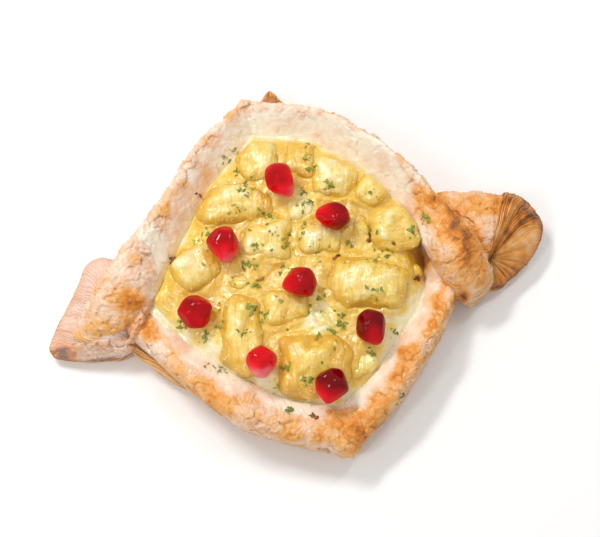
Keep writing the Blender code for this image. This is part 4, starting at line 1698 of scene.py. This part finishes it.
class Aril(NamedTuple):
    """A pomegranate aril.

    Its place and size, the bearing and dip of its pointed end, the turn of its flanks round its own
    length, and how bright its crown and its tip are, from 0 to 1.
    """

    x: float
    y: float
    z: float
    length: float
    width: float
    turn: float
    dip: float
    flank: float
    crown: float
    tip: float


ARILS = (
    Aril(1.9, 26.1, 20.0, 11.0, 7.4, -76, 10, 0.9, 0.38, 0.95),
    Aril(13.6, 12.0, 20.2, 9.8, 7.8, 152, 4, 0.2, 0.22, 0.55),
    Aril(-17.6, 12.0, 20.0, 10.4, 8.2, -94, 12, 1.4, 0.36, 0.92),
    Aril(-0.2, -4.0, 20.6, 9.6, 8.0, 174, 2, 0.6, 0.30, 0.55),
    Aril(-29.6, -4.0, 17.6, 9.4, 8.8, -96, 4, 2.0, 0.34, 0.42),
    Aril(15.2, -20.5, 19.0, 10.6, 7.8, -86, 4, 1.1, 0.08, 0.42),
    Aril(-15.8, -22.4, 20.6, 8.6, 8.2, -100, 16, 0.4, 0.55, 1.0),
    Aril(0.6, -33.4, 19.8, 9.2, 8.6, -122, 2, 1.7, 0.02, 0.62),
)


@dataclass(frozen=True)
class Pomegranate:
    """The arils, strewn over the fruit."""

    columns: int = 110
    rows: int = 96
    sides: int = 17
    softness: float = 11.0

    def skin(self, number: int, aril: Aril) -> Skin:
        """Shapes one aril as a soft crystal and turns it into place.

        Flat sides face evenly spread directions, on a golden spiral shaken a little, each as far out
        as a drop of the aril's length and width would reach there. The distance along a direction d
        is (the sum over the sides of (d . n / far)^p)^(-1/p), with a high power p, which is close to
        where d meets the nearest side. The aril narrows towards its tip.

        Args:
            number: The aril's number, which seeds its sides.
            aril: The aril.

        Returns:
            Its surface.
        """
        rng = np.random.default_rng(400 + number)
        order = np.arange(self.sides) + 0.5
        tall, bearing = 1 - 2 * order / self.sides, order * GOLDEN_ANGLE + aril.flank
        ring = np.sqrt(1 - tall**2)
        normals = np.column_stack((tall, ring * np.cos(bearing), ring * np.sin(bearing)))
        normals += rng.normal(0, 0.10, normals.shape)
        normals /= np.linalg.norm(normals, axis=1)[:, None]
        half = np.array((aril.length, aril.width, aril.width)) / 2
        far = np.linalg.norm(normals * half, axis=1) * rng.uniform(0.95, 1.04, self.sides)
        far *= 1 + 0.10 * np.clip(normals[:, 0], 0, 1) ** 2
        lat = np.linspace(0.03, math.pi - 0.03, self.rows)[:, None]
        lon = np.linspace(0, 2 * math.pi, self.columns, endpoint=False)[None]
        sphere = (-np.cos(lat) + 0 * lon, np.sin(lat) * np.cos(lon), np.sin(lat) * np.sin(lon))
        aim = np.stack(sphere, axis=-1)
        meets = np.clip(aim @ normals.T, 0, None) / far
        local = aim * (np.sum(meets**self.softness, axis=-1) ** (-1 / self.softness))[..., None] * 0.95
        local[..., 1:] *= 1 - 0.16 * np.clip(local[..., :1] / half[0], -0.2, 1)
        (cos_turn, sin_turn), (cos_dip, sin_dip) = (
            (math.cos(angle), math.sin(angle)) for angle in map(math.radians, (aril.turn, aril.dip))
        )
        tilt = np.array(((cos_dip, 0, -sin_dip), (0, 1, 0), (sin_dip, 0, cos_dip)))
        spin = np.array(((cos_turn, sin_turn, 0), (-sin_turn, cos_turn, 0), (0, 0, 1)))
        skin = Skin(local @ tilt @ spin + np.array((aril.x, aril.y, aril.z)))
        at, low = local[..., 0] / half[0], -local[..., 2] / half[2]
        # The 0.10 * low term is a painted glow: the aril's underside is painted brighter red.
        glow = aril.crown + (aril.tip - aril.crown) * eased(at, -0.3, 1.0) + 0.10 * low
        skin.layers["glow"] = glow + 0.16 * fractal(skin.points / 3.0, 430 + number, 2)
        return skin

    def build(self, finish: bpy.types.Material) -> list[bpy.types.Object]:
        """Builds every aril in place of its own node.

        Args:
            finish: The arils' material.

        Returns:
            The arils in order.
        """
        made = []
        for number, aril in enumerate(ARILS, 1):
            piece = self.skin(number, aril).mesh(f"aril_{number:02d}")
            made.append(seated(piece, finish, "pomegranate", f"pomegranate_{number:02d}"))
        return made


# ---------------------------------------------------------------- things strewn on top


class Ground:
    """The finished pieces as one search tree, for laying small things on them."""

    def __init__(self, pieces: list[bpy.types.Object]) -> None:
        """Joins the pieces' faces into one tree.

        Args:
            pieces: What small things may lie on.
        """
        points: list[Vector] = []
        faces: list[tuple[int, ...]] = []
        for piece in pieces:
            start = len(points)
            points.extend(vertex.co for vertex in piece.data.vertices)
            faces.extend(tuple(start + i for i in face.vertices) for face in piece.data.polygons)
        self.tree = BVHTree.FromPolygons(points, faces)

    def under(self, x: float, y: float) -> tuple[Array, Array] | None:
        """The first point below a plan place, and the surface's normal there, in millimetres."""
        spot, normal, _, _ = self.tree.ray_cast(Vector((x * MM, y * MM, 0.08)), Vector((0, 0, -1)))
        return None if spot is None else (np.array(spot) / MM, np.array(normal))


@dataclass(frozen=True)
class Bits:
    """Many small closed bits of one kind, joined into one mesh.

    Length is in millimetres, slim and flat are the width and thickness as shares of it, bend is how
    far a bit is bowed, and sink is the share of its thickness that lies in the ground.
    """

    name: str
    seed: int
    length: Pair
    slim: Pair
    flat: Pair
    bend: float
    sides: int
    rings: int
    sink: float

    def bodies(self, rng: np.random.Generator, count: int) -> tuple[Array, Array]:
        """Shapes bits of random sizes: small oval balls, roughened and bent along as a parabola.

        Args:
            rng: Gives the random numbers.
            count: How many bits.

        Returns:
            Each bit's points round its own middle, and half its thickness.
        """
        at = np.cos(np.linspace(0, math.pi, self.rings + 2))[1:-1, None]
        turn = np.linspace(0, 2 * math.pi, self.sides, endpoint=False)[None]
        ring = np.sqrt(1 - at**2)
        unit = np.stack((at + 0 * turn, ring * np.cos(turn), ring * np.sin(turn)), -1).reshape(-1, 3)
        unit = np.vstack(((1, 0, 0), unit, (-1, 0, 0)))
        body = np.repeat(unit[None], count, axis=0) * (1 + rng.uniform(-0.28, 0.28, (count, len(unit), 1)))
        half = rng.uniform(*self.length, (count, 1)) / 2
        wide, thick = (half * rng.uniform(*share, (count, 1)) for share in (self.slim, self.flat))
        body = body * np.stack((half, wide, thick), -1)
        for axis, share in ((2, 1.0), (1, 0.5)):
            bow = share * self.bend * rng.uniform(-1, 1, (count, 1))
            body[..., axis] += bow * body[..., 0] ** 2 / half
        return body, thick

    def faces(self, count: int) -> list[Array]:
        """The four-sided faces between each bit's rings, and the triangles round its two ends.

        Args:
            count: How many bits.

        Returns:
            Arrays of vertex numbers, one face a row.
        """
        last = self.rings * self.sides + 1
        ids = np.arange(1, last).reshape(self.rings, self.sides)
        right = np.roll(ids, -1, axis=1)
        quads = np.stack((ids[:-1], ids[1:], right[1:], right[:-1]), -1).reshape(-1, 4)
        head = np.column_stack((np.zeros(self.sides, int), ids[0], right[0]))
        tail = np.column_stack((np.full(self.sides, last), right[-1], ids[-1]))
        shift = (np.arange(count) * (last + 1))[:, None, None]
        return [(block[None] + shift).reshape(-1, block.shape[1]) for block in (quads, head, tail)]

    def build(self, places: Array, ground: Ground) -> bpy.types.Object:
        """Lays a bit on the ground at each plan place, leant to the slope and turned at random.

        Args:
            places: Plan places in millimetres, one a row.
            ground: What they lie on.

        Returns:
            All bits as one object.
        """
        rng = np.random.default_rng(self.seed)
        found = [hit for hit in (ground.under(x, y) for x, y in places) if hit is not None]
        spots, normals = (np.array(column) for column in zip(*found))
        count = len(found)
        body, thick = self.bodies(rng, count)
        spin = rng.uniform(0, 2 * math.pi, count)
        up = normals + rng.normal(0, 0.28, normals.shape)
        up /= np.linalg.norm(up, axis=1)[:, None]
        first = np.column_stack((np.cos(spin), np.sin(spin), np.zeros(count)))
        first -= up * np.sum(first * up, axis=1)[:, None]
        first /= np.linalg.norm(first, axis=1)[:, None]
        basis = np.stack((first, np.cross(up, first), up), axis=1)
        lifted = spots + normals * thick * (1 - 2 * self.sink)
        placed = np.einsum("nij,njk->nik", body, basis) + lifted[:, None]
        tone = np.repeat(rng.uniform(0, 1, count), body.shape[1])
        return mesh_object(self.name, placed.reshape(-1, 3) * MM, self.faces(count), {"tone": tone})


HERB_PLACES = (
    (-8.0, 40.0), (-8.6, 33.8), (-11.0, 37.6), (12.3, 36.4), (11.0, 31.7), (11.4, 27.7),
    (7.8, 23.0), (-3.1, 17.5), (-12.2, 21.1), (-4.7, 19.1), (6.5, 18.0), (8.2, 19.6), (4.9, 13.3),
    (13.1, 14.4), (-8.3, 26.0), (-7.3, 29.1), (-20.5, 17.9), (-24.4, 16.3), (-8.8, 10.3),
    (-3.4, 13.1), (3.9, 10.3), (-0.9, 8.5), (7.0, 5.9), (-13.3, 6.1), (-12.0, 5.8), (-10.9, 4.5),
    (-17.6, 3.1), (-11.5, 0.0), (-3.5, 1.8), (-1.7, 1.3), (-23.8, -8.4), (-15.3, -6.8),
    (-13.1, -7.4), (-11.6, -9.2), (-18.4, -13.1), (4.4, -8.6), (8.6, -14.3), (5.1, -17.6),
    (7.9, -16.8), (1.0, -19.2), (21.2, -2.4), (26.0, -0.7), (22.7, 1.1), (16.5, 4.8), (23.1, 7.0),
    (25.3, 16.3), (15.2, 22.5), (33.8, 3.0), (37.9, 5.5), (38.2, 4.2), (-26.8, -19.9),
    (-29.9, -18.8), (-28.6, -10.4), (-34.4, -5.0), (-9.4, -24.8), (-14.0, -29.0), (-11.6, -36.2),
    (-5.4, -30.3), (19.5, -11.2), (22.3, -22.1), (13.8, -27.3), (18.3, -41.7),
)
CARAMEL_PLACES = (
    (-32.7, 13.3), (-32.2, 12.6), (-31.4, 12.8), (-21.1, 30.0), (-20.6, 29.2), (11.5, 1.1),
    (32.0, -9.4), (31.6, -8.6), (-6.4, -39.3), (-5.6, -39.4), (22.0, 4.9), (27.5, 0.7), (-9.5, 0.4),
)


@dataclass(frozen=True)
class Strewn:
    """What is strewn over the filling: dried herb flakes, caramelised crumbs and pale drops of glaze
    whose colour paints glints of light on the wet filling.
    """

    herbs: Bits = Bits("herb_flakes", 71, (0.5, 1.6), (0.40, 0.75), (0.08, 0.16), 0.9, 6, 3, 0.0)
    crumbs: Bits = Bits("caramel_crumbs", 72, (0.7, 1.8), (0.5, 0.8), (0.35, 0.6), 0.2, 10, 7, 0.2)
    # Pale glossy drops of glaze whose colour is painted glints of light on the wet filling.
    glint_beads: Bits = Bits("painted_glint_beads", 73, (0.30, 0.95), (0.26, 0.50), (0.16, 0.28), 0.4, 6, 3, 0.25)
    herb_finish: SpeckFinish = SpeckFinish("dried_herb", (0.14, 0.21, 0.015), (0.40, 0.43, 0.06), 0.7)
    crumb_finish: SpeckFinish = SpeckFinish("caramel", (0.10, 0.02, 0.006), (0.45, 0.15, 0.03), 0.3)
    # The pale colours of the painted glints.
    glint_bead_finish: SpeckFinish = SpeckFinish("painted_glint_bead", (0.90, 0.76, 0.34), (0.95, 0.93, 0.80), 0.06)
    loose_herbs: int = 90
    glint_bead_count: int = 3000

    def bunches(self, centres: Array, each: tuple[int, int], spread: float, seed: int) -> Array:
        """Several places round each centre, spread as a bell curve."""
        rng = np.random.default_rng(seed)
        counts = rng.integers(*each, len(centres))
        return np.repeat(centres, counts, axis=0) + rng.normal(0, spread, (counts.sum(), 2))

    def diamond(self, spots: Array, half: Pair, share: float) -> Array:
        """Keeps the spots inside a diamond, |x| / half width + |y| / half height < share."""
        return spots[np.abs(spots[:, 0]) / half[0] + np.abs(spots[:, 1]) / half[1] < share]

    def build(self, fruit: list[bpy.types.Object], all_over: Ground) -> None:
        """Strews the bits on whatever is on top at their places, and the painted glints on the filling
        alone.

        Args:
            fruit: The custard and the chunks.
            all_over: The same with the dough, as a ground.
        """
        rng = np.random.default_rng(82)
        loose = rng.uniform(-1, 1, (self.loose_herbs, 2)) * np.array((30, 34))
        loose = self.diamond(loose, (34, 42), 0.95)
        places = np.vstack((self.bunches(np.array(HERB_PLACES), (5, 13), 0.75, 81), loose))
        seated(self.herbs.build(places, all_over), self.herb_finish.material(), "custard")
        places = self.bunches(np.array(CARAMEL_PLACES), (1, 4), 0.5, 83)
        seated(self.crumbs.build(places, all_over), self.crumb_finish.material(), "custard")
        # Painted glints: pale drops strewn on the custard and the chunks.
        spots = rng.uniform(-1, 1, (self.glint_bead_count, 2)) * np.array((38, 44))
        flat = np.column_stack((spots, np.zeros(len(spots))))
        spots = spots[fractal(flat / 5.0, 83, 2) > rng.uniform(-0.5, 0.35, len(spots))]
        places = self.diamond(spots, (42, 50), 1.0)
        seated(self.glint_beads.build(places, Ground(fruit)), self.glint_bead_finish.material(), "custard")


# ---------------------------------------------------------------- studio


@dataclass(frozen=True)
class Lamp:
    """A soft lamp, a lit rectangle that faces the danish, with its sizes in millimetres."""

    name: str
    place: Place
    size: Pair
    radiance: float
    tint: Colour

    def hang(self) -> None:
        """Hangs the lamp. It gives pi times its area times its radiance."""
        light = bpy.data.lights.new(self.name, "AREA")
        light.shape = "RECTANGLE"
        light.size, light.size_y = self.size[0] * MM, self.size[1] * MM
        light.energy = self.radiance * math.pi * light.size * light.size_y
        light.color = self.tint
        holder = bpy.data.objects.new(self.name, light)
        holder.location = np.array(self.place) * MM
        holder.rotation_euler = Vector(-np.array(self.place, float)).to_track_quat("-Z", "Y").to_euler()
        bpy.context.scene.collection.objects.link(holder)


@dataclass(frozen=True)
class Studio:
    """A white table, a bright room, three soft lamps and the camera."""

    target: Place = (1.4, 2.1, 12.0)
    azimuth: float = -14.8
    elevation: float = 74.0
    lens: float = 85.0
    sensor: float = 36.0
    across: float = 166.7
    table: float = 1400.0
    room: float = 0.56
    lamps: tuple[Lamp, ...] = (
        Lamp("window", (-190, 330, 560), (210, 70), 46.0, (1.0, 0.985, 0.96)),
        Lamp("strip", (250, 170, 600), (40, 200), 20.0, (1.0, 0.99, 0.97)),
        Lamp("reflector", (-330, -120, 500), (50, 190), 18.0, (1.0, 0.99, 0.97)),
    )

    def build(self) -> None:
        """Sets the table, the light and the camera."""
        scene = bpy.context.scene
        scene.view_settings.view_transform = "Standard"
        scene.view_settings.look = "None"
        scene.world = bpy.data.worlds.new("room")
        scene.world.use_nodes = True
        sky = scene.world.node_tree.nodes["Background"].inputs
        sky["Color"].default_value = (1.0, 1.0, 1.0, 1)
        sky["Strength"].default_value = self.room
        for lamp in self.lamps:
            lamp.hang()
        self.lay_table()
        self.point_camera()

    def lay_table(self) -> None:
        """Lays the table, a flat white sheet with the faintest grain."""
        board = Board("white_table")
        colour = board.ramp(board.grain(60.0, 2), (0.0, (0.94, 0.94, 0.935)), (1.0, (0.96, 0.96, 0.955)))
        corners = np.array(((-1, -1, 0), (1, -1, 0), (1, 1, 0), (-1, 1, 0))) * self.table / 2 * MM
        table = mesh_object("table", corners, [np.array([[0, 1, 2, 3]])], {})
        table.data.materials.append(board.finished(Base_Color=colour, Roughness=0.7))

    def point_camera(self) -> None:
        """Points the camera down at the danish, so far off that the picture spans the width across."""
        data = bpy.data.cameras.new("camera")
        data.lens = self.lens
        data.sensor_width = self.sensor
        data.clip_end = 10.0
        camera = bpy.data.objects.new("camera", data)
        turn, tilt = math.radians(self.azimuth), math.radians(self.elevation)
        level = math.cos(tilt)
        back = np.array((math.sin(turn) * level, -math.cos(turn) * level, math.sin(tilt)))
        distance = self.across / self.sensor * self.lens
        camera.location = (np.array(self.target) + back * distance) * MM
        camera.rotation_euler = Vector(-back).to_track_quat("-Z", "Y").to_euler()
        bpy.context.scene.collection.objects.link(camera)
        bpy.context.scene.camera = camera


def main() -> None:
    """Builds the danish from the bottom up, then the studio."""
    logging.basicConfig(level=logging.INFO, format="%(name)s: %(message)s")
    pastry = Pastry()
    crust = pastry.build(Dough(), CrustFinish().material())
    pineapple = Pineapple(pastry)
    custard = Custard(pastry, pineapple).build(CustardFinish().material())
    chunks = pineapple.build(PineappleFinish().material())
    arils = Pomegranate().build(ArilFinish().material())
    Strewn().build([custard, *chunks], Ground([custard, *chunks, *crust]))
    Studio().build()
    LOG.info("%d arils on %d chunks", len(arils), len(chunks))


if __name__ == "__main__":
    main()
